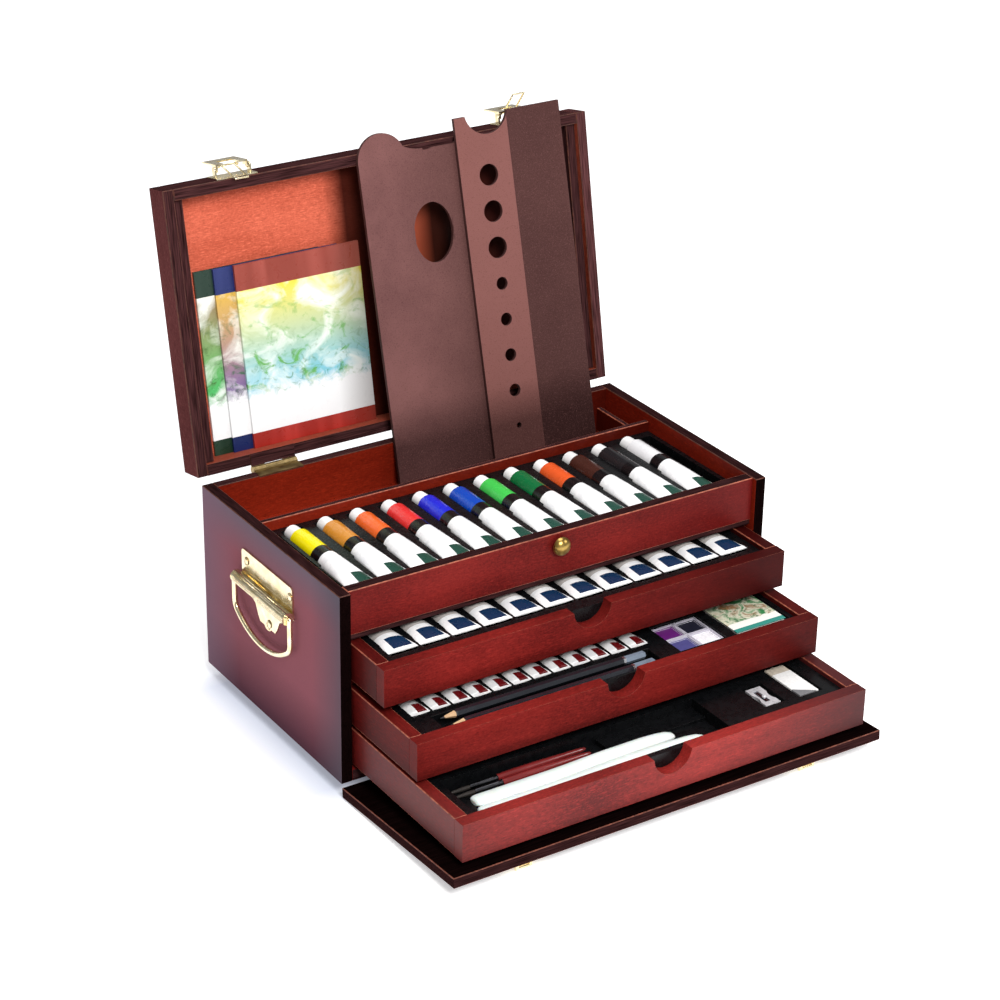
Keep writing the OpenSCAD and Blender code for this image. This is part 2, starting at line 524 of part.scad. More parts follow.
// ---- top tray ----
tt_w = in_w - 0.6; tt_y0 = rail_y1 + 0.3; tt_l = slot_y - div_t - 0.3 - tt_y0; tt_z = z_fl;
tb_z = tt_z + tray_h - 2.5;             // tube axis
tube_pitch = (tt_w - 2*tube_side)/11;
top_w = tube_w + 0.5;                  // folded end of a tube in the top tray
cap_l = 12; cap_gap = 5.7;             // cap length, and its gap to the divider
tb_y0 = rail_y1 + 14;
tb_len = slot_y - div_t - 0.3 - cap_gap - cap_l - tb_y0;
function tb_x(i) = (i - 5.5)*tube_pitch;
module pt(g) {
  for (i = [0:11]) translate([tb_x(i), 0, 0]) {
    groove(tube_r, 10, tt_l - 14.9, tb_z - tt_z, g);
    pocket(-top_w/2 - 0.8, 10, top_w/2 + 0.8, 14 + tb_len*0.48, tb_z - tt_z - 3, g);
  }
  pocket(tb_x(11) + 12, 8, tt_w/2 - 4, tt_l - 8, 6, g);
  pocket(-tt_w/2 + 4, 8, tb_x(0) - 12, tt_l - 8, 6, g);
}
module top_tray() at_o() color(black_c) translate([0, tt_y0, tt_z]) difference() {
  union() {
    tub(tt_w, tt_l, tray_h, tr_t);
    intersection() { box([-tt_w/2, 0, 0], [tt_w/2, tt_l, tray_h]); pt(tr_t); }
  }
  pt(0);
}
module top_tubes() at_o() color([0.9, 0.9, 0.92]) for (i = [0:11]) translate([tb_x(i), tb_y0, tb_z]) {
  hull() {
    translate([0, 0.4, 0]) cube([top_w, 0.8, 1.4], center = true);
    translate([0, tb_len*0.55, 0]) rotate([-90, 0, 0]) cylinder(r = tube_r, h = 0.5, $fn = 28);
  }
  translate([0, tb_len*0.55, 0]) rotate([-90, 0, 0]) cylinder(r = tube_r, h = tb_len*0.45, $fn = 28);
}
module top_caps() at_o() color([0.95, 0.95, 0.95]) for (i = [0:11])
  translate([tb_x(i), tb_y0 + tb_len, tb_z]) rotate([-90, 0, 0]) cylinder(r = 6.85, h = cap_l, $fn = 40);

// ---- palettes, drawn flat in X (across) and Y (up), then stood on the deck ----
module pal_solid(k) at_pal() translate([0, -(pal_t + pal_gap)*k, 0])
  rotate([90, 0, 0]) linear_extrude(pal_t) children();
pal_x = in_w/2 - pal_side - pal_w;     // left edge of the straight palette
hole_step = pal_h*0.12;                // spacing of the brush holes
module palette_1() at_o() color([0.27, 0.14, 0.13]) pal_solid(0)
  translate([pal_x + 12.5 - pal_w, 0]) difference() {
    union() {
      translate([-1.5, pal_lo]) square([pal_w + 1.5, pal_1_h - 1 - pal_lo]);
      intersection() {
        translate([-1.5, pal_1_h - 11]) square([40, 40]);
        translate([19, pal_1_h - 3.2]) circle(r = 20.5, $fn = 96);
      }
      translate([38, pal_1_h - 11]) square([pal_w - 38, 11]);
      intersection() {
        translate([pal_w - 32, pal_1_h - 16]) square([32, 40]);
        translate([pal_w - 4, pal_1_h - 20]) circle(r = 22, $fn = 96);
      }
    }
    translate([pal_w*0.6, pal_1_h + 15]) circle(r = 16, $fn = 96);
    for (k = [-6, 0, 6]) translate([pal_w*0.59, pal_1_h - 63.5 + k]) circle(r = thumb_r, $fn = 96);
  }
module palette_2() at_o() color([0.27, 0.14, 0.13]) pal_solid(1) translate([pal_x, 0]) difference() {
  translate([0, pal_lo]) square([pal_w, pal_h - pal_lo]);
  translate([pal_w*0.304, pal_h + 3.8]) circle(r = 19.3, $fn = 96);
  for (k = [0:7]) translate([pal_w*0.265, pal_h - 46.4 - hole_step*k])
    circle(r = k < 3 ? 8.2 : k < 7 ? 4.9 : 2.1, $fn = 48);
}

// ---- booklets in the lid; k counts back from the front one ----
book_t = 2.4;
module booklet(k, x0) at_lid() translate([x0, l_bk - rim_t - 0.05 - book_h, l_pan - (3 - k)*(book_t + 0.1)])
  cube([book_w, book_h, book_t]);
book_x = -case_w/2 + rim_t + cleat_t + 7; // left edge of the rearmost booklet
module booklet_1() at_o() color([0.9, 0.5, 0.4]) booklet(0, book_x + 30.5);
module booklet_2() at_o() color([0.3, 0.3, 0.6]) booklet(1, book_x + 14.5);
module booklet_3() at_o() color([0.2, 0.4, 0.3]) booklet(2, book_x);

case_left_side();
case_right_side();
case_back();
case_bottom();
deck_board();
front_rail();
divider_rail();
drawer_runners();
feet();
knob();
handle_plate_left();
handle_plate_right();
bail_left();
bail_right();
hinge_case_leaves();
hinge_pins();
lid_sides();
lid_front_rail();
lid_back_rail();
lid_panel();
lid_cleats();
lid_hinge_leaves();
latch_bases();
latch_lever_left();
latch_lever_right();
latch_loop_left();
latch_loop_right();
drop_front();
drop_front_hinge_leaves();
strikes();
drawer_1_front();
drawer_1_frame();
drawer_1_bottom();
drawer_1_tray();
drawer_1_tubes();
drawer_2_front();
drawer_2_frame();
drawer_2_bottom();
drawer_2_tray();
drawer_2_tubes();
pencils();
paint_pans();
sketch_pad();
drawer_3_front();
drawer_3_frame();
drawer_3_bottom();
drawer_3_tray();
brushes();
palette_knives();
sharpener();
eraser();
top_tray();
top_tubes();
top_caps();
palette_1();
palette_2();
booklet_1();
booklet_2();
booklet_3();
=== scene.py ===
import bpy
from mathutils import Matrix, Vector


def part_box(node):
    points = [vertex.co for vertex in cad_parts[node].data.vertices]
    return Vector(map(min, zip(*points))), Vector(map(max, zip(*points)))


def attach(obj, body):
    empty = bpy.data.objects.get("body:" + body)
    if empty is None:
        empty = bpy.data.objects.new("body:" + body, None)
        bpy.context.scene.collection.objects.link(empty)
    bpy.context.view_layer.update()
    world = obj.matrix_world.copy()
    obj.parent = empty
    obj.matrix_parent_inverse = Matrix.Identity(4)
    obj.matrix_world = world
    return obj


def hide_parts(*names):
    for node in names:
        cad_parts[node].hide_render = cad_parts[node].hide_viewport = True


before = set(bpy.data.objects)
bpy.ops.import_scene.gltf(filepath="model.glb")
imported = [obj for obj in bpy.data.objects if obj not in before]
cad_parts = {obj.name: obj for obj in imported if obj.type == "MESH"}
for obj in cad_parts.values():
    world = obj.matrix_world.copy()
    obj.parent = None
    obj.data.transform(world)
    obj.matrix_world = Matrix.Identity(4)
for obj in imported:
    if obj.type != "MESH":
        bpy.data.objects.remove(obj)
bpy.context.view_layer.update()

import math
import bpy
from bpy.props import FloatProperty, FloatVectorProperty, PointerProperty
from mathutils import Matrix, Vector

bl_info = {
    "name": "Art supply box",
    "version": (1, 0, 0),
    "blender": (4, 2, 0),
    "location": "3D View > Sidebar > Art box",
    "description": "Dresses a wooden art supply box: stained boards, brass fittings, paint tubes and tools",
    "category": "Object",
}

# ---------------------------------------------------------------- places that several pieces share
MM = 0.001
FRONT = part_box("case_left_side")[0].y          # front plane of the case
HALF_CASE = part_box("case_right_side")[1].x     # half the case width
LID_TURN = 100.84                              # degrees that the open lid is turned back
FLAP_TURN = 3.56                               # degrees that the dropped front is turned
PALETTE_TURN = 14.34                           # degrees that the palettes lean back
LID_GRAIN = math.radians(LID_TURN)             # turns that keep the grain square to the turned boards
FLAP_GRAIN = math.radians(FLAP_TURN)
HINGE_X = 0.120                                # the lid's and the drop front's hinges, from the middle
OVER = 0.001                                   # a cutting tool reaches this far past its piece


def at(x, y, z):
    """A point in millimetres from the case front, middle and floor."""
    return Vector((x * MM, FRONT + y * MM, z * MM))


def hung(y, z, degrees):
    """The frame of a part that turns about an X axis at y, z."""
    return Matrix.Translation(at(0, y, z)) @ Matrix.Rotation(math.radians(degrees), 4, "X")


HERE = Matrix.Identity(4)                                  # for a node that is measured as it stands
CASE = Matrix.Translation(at(0, 0, 0))
LID = hung(206.8, 159.6, -LID_TURN)
FLAP = hung(1.25, 10.17, -FLAP_TURN)
PALETTE = hung(193.7, 159.7, -PALETTE_TURN)
LAY_BACK = Matrix.Rotation(math.radians(-90), 4, "X")      # a piece made along Z lies along +Y
LAY_RIGHT = Matrix.Rotation(math.radians(90), 4, "Y")      # a piece made along Z lies along +X


# ---------------------------------------------------------------- modelling helpers
def clear():
    """Object mode, with nothing selected."""
    if bpy.context.mode != "OBJECT":
        bpy.ops.object.mode_set(mode="OBJECT")
    bpy.ops.object.select_all(action="DESELECT")


def only(piece):
    """Makes one piece active and the only one selected."""
    clear()
    bpy.context.view_layer.objects.active = piece
    piece.select_set(True)
    return piece


def named(name):
    """Names the active object and its mesh."""
    piece = bpy.context.active_object
    piece.name = name
    piece.data.name = name
    return piece


def edit(piece):
    """Opens a piece in edit mode with all of it selected."""
    only(piece)
    bpy.ops.object.mode_set(mode="EDIT")
    bpy.ops.mesh.select_all(action="SELECT")


def settle(piece, place=None):
    """Moves a piece to its place and leaves that place in its mesh."""
    only(piece)
    if place is not None:
        piece.matrix_world = place @ piece.matrix_world
    bpy.ops.object.transform_apply(location=True, rotation=True, scale=True)
    return piece


def block(name, lo, hi):
    """A block between two corners in metres."""
    lo, hi = Vector(lo), Vector(hi)
    clear()
    bpy.ops.mesh.primitive_cube_add(size=1, location=(lo + hi) / 2)
    piece = named(name)
    piece.scale = hi - lo
    return settle(piece)


def rod(name, start, end, radius, verts):
    """A straight rod between two points."""
    start, end = Vector(start), Vector(end)
    clear()
    bpy.ops.mesh.primitive_cylinder_add(vertices=verts, radius=radius, depth=(end - start).length)
    piece = named(name)
    turn = (end - start).to_track_quat("Z", "Y").to_matrix().to_4x4()
    piece.matrix_world = Matrix.Translation((start + end) / 2) @ turn
    return settle(piece)


def apply_all(piece):
    """Applies every modifier of a piece."""
    only(piece)
    for modifier in list(piece.modifiers):
        bpy.ops.object.modifier_apply(modifier=modifier.name)
    return piece


def cut(piece, tool, way="DIFFERENCE"):
    """Cuts a tool out of a piece, or adds it, and removes the tool."""
    modifier = piece.modifiers.new("cut", "BOOLEAN")
    modifier.operation, modifier.object, modifier.solver = way, tool, "EXACT"
    apply_all(piece)
    bpy.data.objects.remove(tool)
    return piece


def soften(piece, width, segments=2, angle=35, smooth=60):
    """Rounds the edges and smooths the faces between them."""
    modifier = piece.modifiers.new("edges", "BEVEL")
    modifier.width, modifier.segments, modifier.limit_method = width, segments, "ANGLE"
    modifier.angle_limit, modifier.use_clamp_overlap = math.radians(angle), True
    apply_all(piece)
    bpy.ops.object.shade_smooth_by_angle(angle=math.radians(smooth))
    if smooth < 45:                                        # thin plates keep their plain normals
        return piece
    modifier = piece.modifiers.new("normals", "WEIGHTED_NORMAL")
    modifier.keep_sharp, modifier.weight = True, 100
    return apply_all(piece)


def sink(piece, test, rim, depth):
    """Insets the faces that pass a test of their centre and normal, and pushes them in."""
    edit(piece)
    bpy.ops.mesh.select_mode(type="FACE")
    bpy.ops.mesh.select_all(action="DESELECT")
    bpy.ops.object.mode_set(mode="OBJECT")
    for face in piece.data.polygons:
        face.select = test(face.center, face.normal)
    bpy.ops.object.mode_set(mode="EDIT")
    bpy.ops.mesh.inset(thickness=rim, depth=0)
    bpy.ops.mesh.inset(thickness=0.00001, depth=-depth)
    bpy.ops.object.mode_set(mode="OBJECT")
    return piece


def merge(piece, gap, angle):
    """Joins doubled points and dissolves the edges inside flat faces."""
    edit(piece)
    bpy.ops.mesh.remove_doubles(threshold=gap)
    bpy.ops.mesh.dissolve_limited(angle_limit=math.radians(angle))
    bpy.ops.object.mode_set(mode="OBJECT")


def recast(name, node, width, mats, rule=None, angle=40, add=()):
    """A merged copy of a CAD node, with extra pieces added, its edges rounded and its faces stained."""
    clear()
    piece = bpy.data.objects.new(name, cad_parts[node].data.copy())
    bpy.context.scene.collection.objects.link(piece)
    merge(piece, 0.00001, 0.5)
    for extra in add:
        cut(piece, extra, "UNION")
    if add:
        merge(piece, 0.00002, 2)
    soften(piece, width, 2, angle, 24)
    large = 0.00006                                        # square metres: the flats of a plate
    for face in piece.data.polygons:
        if face.area > large:
            face.use_smooth = False
    return stain(piece, mats, rule)


def ring(z, half_width, half_height=None, rise=0.0):
    """A ring of a loft; a round one needs no half height."""
    return z, half_width, half_width if half_height is None else half_height, rise


def loft(name, rings, verts=32):
    """A closed skin through rings along Z, each a tuple of ring()'s values, extruded ring by ring."""
    rings = [ring(*values) for values in rings]
    z0, width0, height0, rise0 = rings[0]
    clear()
    bpy.ops.mesh.primitive_circle_add(vertices=verts, radius=1, fill_type="NGON", location=(0, -rise0, z0))
    piece = named(name)
    piece.scale = (width0, height0, 1)
    settle(piece)
    edit(piece)
    for (z, a, b, u), (z1, a1, b1, u1) in zip(rings, rings[1:]):
        bpy.ops.mesh.extrude_region_move(TRANSFORM_OT_translate={"value": (0, u - u1, z1 - z)})
        bpy.ops.transform.resize(value=(a1 / a, b1 / b, 1), center_override=(0, -u1, z1))
    bpy.ops.mesh.select_all(action="SELECT")
    bpy.ops.mesh.normals_make_consistent(inside=False)
    bpy.ops.object.mode_set(mode="OBJECT")
    bpy.ops.object.shade_smooth_by_angle(angle=math.radians(34))
    return piece


def twin(piece, name, place):
    """A copy of a piece, with its own mesh, at a place."""
    only(piece)
    bpy.ops.object.duplicate(linked=False)
    return settle(named(name), place)


def joined(name, parts):
    """Joins parts into one named piece."""
    clear()
    for part in parts:
        part.select_set(True)
    bpy.context.view_layer.objects.active = parts[0]
    if len(parts) > 1:
        bpy.ops.object.join()
    return named(name)


def corners(points):
    """The lowest and highest corner of a set of points."""
    return (Vector(min(p[i] for p in points) for i in range(3)),
            Vector(max(p[i] for p in points) for i in range(3)))


def local_box(node, place):
    """Corners of a CAD node measured in a turned frame."""
    inverse = place.inverted()
    return corners([inverse @ v.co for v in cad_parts[node].data.vertices])


def parts_of(node, place=HERE):
    """Corner pairs of each loose solid of a CAD node, in a turned frame, left to right."""
    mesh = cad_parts[node].data
    group = list(range(len(mesh.vertices)))

    def root(i):
        while group[i] != i:
            group[i] = group[group[i]]
            i = group[i]
        return i

    seen = {}
    for v in mesh.vertices:
        spot = tuple(round(c, 6) for c in v.co)
        if spot in seen:
            group[root(v.index)] = root(seen[spot])
        seen[spot] = v.index
    for e in mesh.edges:
        group[root(e.vertices[0])] = root(e.vertices[1])
    inverse = place.inverted()
    solids = {}
    for v in mesh.vertices:
        solids.setdefault(root(v.index), []).append(inverse @ v.co)
    return sorted((corners(points) for points in solids.values()),
                  key=lambda box: tuple(round(c, 4) for c in box[0]))


# How much of a face's normal lies along an axis
SQUARE = 0.985                                             # less than this along all three: a rounded edge
SLOPING = 0.2                                              # more than this along Z: it looks up or down
FACING = 0.6                                               # more than this: it points along that axis


def stain(piece, mats, rule=None):
    """Gives a piece its materials; rule(centre, normal) picks the slot of each face."""
    piece.data.materials.clear()
    for mat in mats:
        piece.data.materials.append(mat)
    for face in piece.data.polygons:
        face.material_index = rule(face.center, face.normal) if rule else 0
    return piece


def facing(*turns, rest=0, worn=None):
    """A rule that picks a slot by the way a face points, as in ("+Z", 1).

    The rounded edges that face up or down take the worn slot, if there is one.
    """
    def rule(centre, normal):
        rounded = max(abs(v) for v in normal) < SQUARE and abs(normal.z) > SLOPING
        if worn is not None and rounded:
            return worn
        for way, slot in turns:
            if normal["XYZ".index(way[1])] * float(way[0] + "1") > FACING:
                return slot
        return rest
    return rule


def sheet_uv(piece, origin, up=1):
    """Flat coordinates in centimetres for printed patterns: across X, and along Y where up is 1."""
    layer = piece.data.uv_layers.get("print") or piece.data.uv_layers.new(name="print")
    for loop in piece.data.loops:
        from_origin = piece.data.vertices[loop.vertex_index].co - origin
        layer.data[loop.index].uv = (from_origin.x * 100, from_origin.y * up * 100)


def tint(piece, colour):
    """Leaves a colour in a piece's mesh, for its printed label."""
    layer = piece.data.attributes.get("tint") or piece.data.attributes.new("tint", "FLOAT_COLOR", "CORNER")
    for item in layer.data:
        item.color = (*colour, 1)


def hand_over(piece, body, slot, *nodes):
    """Gives a piece its body and hides the CAD nodes that it stands for; the slot is not used."""
    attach(piece, body)
    if nodes:
        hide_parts(*nodes)
    return piece


# ---------------------------------------------------------------- materials
class Recipe:
    """A small writer of shader nodes."""

    def __init__(self, name, **principled):
        name = "art_" + name                               # keeps clear of materials that are named after the plain slots
        made = bpy.data.materials.get(name)
        self.fresh = made is None
        self.mat = made or bpy.data.materials.new(name)
        if not self.fresh:
            return
        self.mat.use_nodes = True
        self.tree = self.mat.node_tree
        self.bsdf = self.tree.nodes["Principled BSDF"]
        for key, value in principled.items():
            self.bsdf.inputs[key.replace("_", " ")].default_value = value

    def node(self, kind, **inputs):
        node = self.tree.nodes.new(kind)
        for key, value in inputs.items():
            self.feed(node.inputs[key.replace("_", " ")], value)
        return node

    def feed(self, socket, value):
        """Links a socket, or sets its value; a colour gets its fourth number."""
        if isinstance(value, bpy.types.NodeSocket):
            self.tree.links.new(value, socket)
        elif isinstance(value, (tuple, list)) and len(value) == 3 and socket.type == "RGBA":
            socket.default_value = (*value, 1)
        else:
            socket.default_value = value

    def spot(self):
        return self.node("ShaderNodeTexCoord").outputs["Object"]

    def uv(self):
        node = self.node("ShaderNodeUVMap")
        node.uv_map = "print"
        return node.outputs["UV"]

    def tint(self):
        node = self.node("ShaderNodeAttribute")
        node.attribute_name = "tint"
        return node.outputs["Color"]

    def stretch(self, vector, scale=(1, 1, 1), turn=0.0, shift=(0, 0, 0)):
        if turn:
            node = self.node("ShaderNodeMapping", Vector=vector, Rotation=(turn, 0, 0))
            vector = node.outputs["Vector"]
        node = self.node("ShaderNodeMapping", Vector=vector, Scale=scale, Location=shift)
        return node.outputs["Vector"]

    def noise(self, vector, scale, detail, rough=0.5, warp=0.0):
        node = self.node("ShaderNodeTexNoise", Vector=vector, Scale=scale, Detail=detail, Roughness=rough,
                         Distortion=warp)
        return node.outputs["Fac"]

    def maths(self, op, a, b=0.0):
        node = self.tree.nodes.new("ShaderNodeMath")
        node.operation = op
        self.feed(node.inputs[0], a)
        self.feed(node.inputs[1], b)
        return node.outputs[0]

    def plus(self, a, b):
        return self.maths("ADD", a, b)

    def times(self, a, b):
        return self.maths("MULTIPLY", a, b)

    def below(self, value, limit):
        """1 where the value is less than the limit."""
        return self.maths("LESS_THAN", value, limit)

    def above(self, value, limit):
        """1 where the value is more than the limit."""
        return self.maths("GREATER_THAN", value, limit)

    def band(self, value, low, high):
        """1 between two limits."""
        return self.times(self.above(value, low), self.below(value, high))

    def axes(self, vector):
        node = self.node("ShaderNodeSeparateXYZ", Vector=vector)
        return node.outputs[0], node.outputs[1], node.outputs[2]

    def remap(self, value, start, end, low=0.0, high=1.0):
        """Carries start..end to low..high, held at both ends."""
        node = self.node("ShaderNodeMapRange", Value=value)
        for i, limit in enumerate((start, end, low, high), 1):
            node.inputs[i].default_value = limit
        return node.outputs[0]

    def mix(self, share, a, b):
        node = self.tree.nodes.new("ShaderNodeMix")
        node.data_type = "RGBA"
        self.feed(node.inputs["Factor"], share)
        self.feed(node.inputs[6], a)
        self.feed(node.inputs[7], b)
        return node.outputs[2]

    def ramp(self, value, stops):
        node = self.node("ShaderNodeValToRGB", Fac=value)
        elements = node.color_ramp.elements
        while len(elements) < len(stops):
            elements.new(0.5)
        for element, (position, colour) in zip(elements, stops):
            element.position = position
            element.color = (*colour, 1)
        return node.outputs["Color"]

    def bump(self, height, strength, distance):
        node = self.node("ShaderNodeBump", Height=height, Strength=strength, Distance=distance)
        self.feed(self.bsdf.inputs["Normal"], node.outputs["Normal"])

    def done(self, colour, rough=None):
        self.feed(self.bsdf.inputs["Base Color"], colour)
        if rough is not None:
            self.feed(self.bsdf.inputs["Roughness"], rough)
        return self.mat


def lifted(colour, by, plus=0.0):
    """A colour made lighter or darker, none of its parts past 1."""
    return tuple(min(1, c * by + plus) for c in colour)


def along(grain, stretch):
    """The scale of a pattern that is drawn out along the grain."""
    return tuple(stretch if axis == grain else 1 for axis in "XYZ")


def stained_wood(name, dark, light, grain, turn, gloss, tone_and_light_fades):
    """Stained hardwood: fine mottled figure, short dark pores, uneven stain and a thin lacquer.

    Each fade is an axis, where it starts, where it is full, its strength and its tone. A fade over the whole
    range sets a tone all over; the others paint light along their axis: painted shade, painted shadow and
    painted sheen.
    """
    r = Recipe(name, Specular_IOR_Level=gloss, Coat_Weight=gloss * 0.3, Coat_Roughness=0.3)
    if not r.fresh:
        return r.mat
    spot = r.spot()
    figure = r.noise(r.stretch(spot, along(grain, 0.08), turn), 60, 4, 0.6, 0.3)
    pores = r.noise(r.stretch(spot, along(grain, 0.17), turn), 1200, 3, 0.6)
    patch = r.noise(spot, 9, 2, 0.5)
    mottle = r.noise(spot, 620, 4, 0.7)
    depth = r.plus(r.times(figure, 0.24), r.times(patch, 0.42))
    depth = r.plus(depth, r.times(mottle, 0.34))
    colour = r.ramp(depth, [(0.35, dark), (0.66, light)])
    pore = r.remap(pores, 0.55, 0.72)
    colour = r.mix(r.times(pore, 0.45), colour, lifted(dark, 0.35))
    colour = r.mix(r.remap(pores, 0.45, 0.32, 0, 0.30), colour, lifted(light, 1.7))
    # Lays the fades over the stain: tones all over, and painted shade, shadow and sheen by position
    for axis, start, end, strength, tone in tone_and_light_fades:
        distance = r.axes(spot)["XYZ".index(axis)]
        colour = r.mix(r.remap(distance, start, end, 0, strength), colour, tone)
    r.bump(r.maths("SUBTRACT", 1.0, pore), 0.08, 0.0002)
    return r.done(colour, r.remap(mottle, 0.3, 0.8, 0.37, 0.50))


def open_grain(name, dark, light, grain, turn):
    """Open-pored rim wood, darker, with fine ribbed lines."""
    r = Recipe(name, Specular_IOR_Level=0.0)
    if not r.fresh:
        return r.mat
    drawn = r.stretch(r.spot(), along(grain, 0.03), turn)
    lines = r.noise(drawn, 1700, 1, 0.4)
    broad = r.noise(drawn, 90, 2, 0.5)
    height = r.plus(r.times(lines, 0.85), r.times(broad, 0.15))
    middle = tuple((a + b) / 2.2 for a, b in zip(dark, light))
    r.bump(height, 0.3, 0.0003)
    return r.done(r.ramp(height, [(0.28, dark), (0.50, middle), (0.74, light)]),
                  r.remap(lines, 0.3, 0.7, 0.52, 0.4))


def rubbed_edge(name, colour):
    """Edges where the stain is rubbed thin."""
    r = Recipe(name, Specular_IOR_Level=0.3)
    if not r.fresh:
        return r.mat
    wear = r.noise(r.spot(), 240, 4, 0.65)
    return r.done(r.ramp(wear, [(0.35, lifted(colour, 0.35)), (0.62, colour)]),
                  r.remap(wear, 0.3, 0.7, 0.5, 0.35))


def brass_metal(name, deep, pale, rough):
    """Brass with a slow drift of tone and a faint grain."""
    r = Recipe(name, Metallic=1.0)
    if not r.fresh:
        return r.mat
    drift = r.noise(r.spot(), 130, 3, 0.5)
    colour = r.ramp(drift, [(0.3, deep), (0.7, pale)])
    r.bump(r.noise(r.spot(), 1100, 2), 0.02, 0.0001)
    return r.done(colour, r.remap(drift, 0.3, 0.7, rough - 0.04, rough + 0.08))


def polished_brass():
    return brass_metal("polished_brass", (0.80, 0.66, 0.38), (0.97, 0.88, 0.64), 0.2)


def dark_brass():
    return brass_metal("dark_brass", (0.22, 0.15, 0.06), (0.42, 0.31, 0.14), 0.34)


def knob_brass():
    return brass_metal("knob_brass", (0.30, 0.19, 0.05), (0.50, 0.34, 0.10), 0.3)


def moulded_black():
    """Thin black plastic of the moulded inserts."""
    r = Recipe("moulded_black", Specular_IOR_Level=0.22)
    if not r.fresh:
        return r.mat
    waver = r.noise(r.spot(), 240, 2, 0.5)
    r.bump(waver, 0.05, 0.0001)
    return r.done(r.ramp(waver, [(0.3, (0.0025, 0.0027, 0.0032)), (0.7, (0.0045, 0.0048, 0.0056))]),
                  r.remap(waver, 0.3, 0.7, 0.24, 0.32))


def plain(name, colour, rough, metal=0.0, vary=0.12, scale=60, coat=0.0, bump=0.06):
    """A smooth finish with slight unevenness in tone and gloss."""
    r = Recipe(name, Metallic=metal, Coat_Weight=coat)
    if not r.fresh:
        return r.mat
    drift = r.noise(r.spot(), scale, 3, 0.55)
    tone = r.ramp(drift, [(0.3, lifted(colour, 1 - vary)), (0.7, lifted(colour, 1 + vary))])
    r.bump(r.noise(r.spot(), scale * 12, 2), bump, 0.0001)
    return r.done(tone, r.remap(drift, 0.3, 0.7, rough - 0.05, rough + 0.06))


def palette_board(name="palette_board", step=None):
    """Sealed brown board with fine specks; painted shade darkens it towards its foot and, where there is no
    step, towards its right; right of the step it is darker.
    """
    r = Recipe(name, Specular_IOR_Level=0.06)
    if not r.fresh:
        return r.mat
    spot = r.spot()
    speck = r.noise(spot, 1100, 3, 0.75)
    cloud = r.noise(spot, 14, 4, 0.6)
    x, _, z = r.axes(spot)
    colour = r.ramp(cloud, [(0.32, (0.128, 0.055, 0.053)), (0.68, (0.195, 0.086, 0.081))])
    if step is None:
        # Painted shade towards the right of the board
        colour = r.mix(r.remap(x, 0.0, 0.060, 0, 0.75), colour, (0.075, 0.032, 0.029))
    else:
        left = r.mix(0.8, colour, (0.196, 0.078, 0.068))
        right = r.mix(0.75, colour, (0.030, 0.011, 0.0095))
        colour = r.mix(r.remap(x, step - 0.0001, step + 0.0001), left, right)
    # Painted shade towards the foot
    colour = r.mix(r.remap(z, 0.185, 0.155, 0, 0.7), colour, (0.014, 0.005, 0.005))
    colour = r.mix(r.remap(speck, 0.54, 0.72, 0, 0.5), colour, (0.17, 0.078, 0.072))
    colour = r.mix(r.remap(speck, 0.46, 0.30, 0, 0.42), colour, (0.010, 0.003, 0.003))
    r.bump(speck, 0.10, 0.0002)
    return r.done(colour, r.remap(speck, 0.3, 0.7, 0.45, 0.55))


def tube_print(name, bands, patch, patch_box):
    """Painted metal tube, printed across u and along v from the crimp; the tint band takes the label's."""
    r = Recipe(name, Coat_Weight=0.12, Coat_Roughness=0.12, Specular_IOR_Level=0.3)
    if not r.fresh:
        return r.mat
    u, v, _ = r.axes(r.uv())
    wave = r.noise(r.spot(), 150, 3, 0.5)
    colour = r.ramp(wave, [(0.3, (0.80, 0.81, 0.83)), (0.7, (0.93, 0.93, 0.93))])
    for start, end, tone in bands:
        colour = r.mix(r.band(v, start, end), colour, r.tint() if tone == "tint" else tone)
    left, right, low, high = patch_box
    colour = r.mix(r.times(r.band(u, left, right), r.band(v, low, high)), colour, patch)
    r.bump(wave, 0.3, 0.0006)
    return r.done(colour, r.remap(wave, 0.3, 0.7, 0.2, 0.34))


def pad_cover():
    """Card cover of the pad: a soft green and earth wash over a pale strip and a teal foot."""
    r = Recipe("pad_cover", Coat_Weight=0.2, Coat_Roughness=0.2)
    if not r.fresh:
        return r.mat
    _, v, _ = r.axes(r.uv())
    wash = r.noise(r.uv(), 0.9, 4, 0.6, 1.0)
    leaves = r.noise(r.stretch(r.uv(), shift=(7, 2, 0)), 2.2, 3, 0.6, 0.6)
    green, earth = (0.04, 0.22, 0.07), (0.30, 0.16, 0.07)
    colour = r.ramp(wash, [(0.38, green), (0.50, (0.72, 0.70, 0.55)), (0.62, earth)])
    colour = r.mix(r.remap(leaves, 0.55, 0.62, 0, 0.8), colour, (0.03, 0.14, 0.05))
    colour = r.mix(r.below(r.plus(v, r.times(wash, 0.6)), 1.5), colour, (0.84, 0.83, 0.78))
    colour = r.mix(r.below(v, 0.45), colour, (0.03, 0.24, 0.20))
    return r.done(colour, r.remap(leaves, 0.3, 0.7, 0.3, 0.42))


def eraser_sleeve():
    """White card sleeve with a grey slanting corner."""
    r = Recipe("eraser_sleeve", Specular_IOR_Level=0.4)
    if not r.fresh:
        return r.mat
    u, v, _ = r.axes(r.uv())
    fibre = r.noise(r.spot(), 500, 3, 0.6)
    colour = r.ramp(fibre, [(0.3, (0.70, 0.70, 0.69)), (0.7, (0.82, 0.82, 0.81))])
    corner = r.maths("SUBTRACT", 1.5, r.plus(u, r.times(v, 1.5)))
    colour = r.mix(r.above(corner, 0.0), colour, (0.16, 0.16, 0.17))
    return r.done(colour, r.remap(fibre, 0.3, 0.7, 0.45, 0.6))


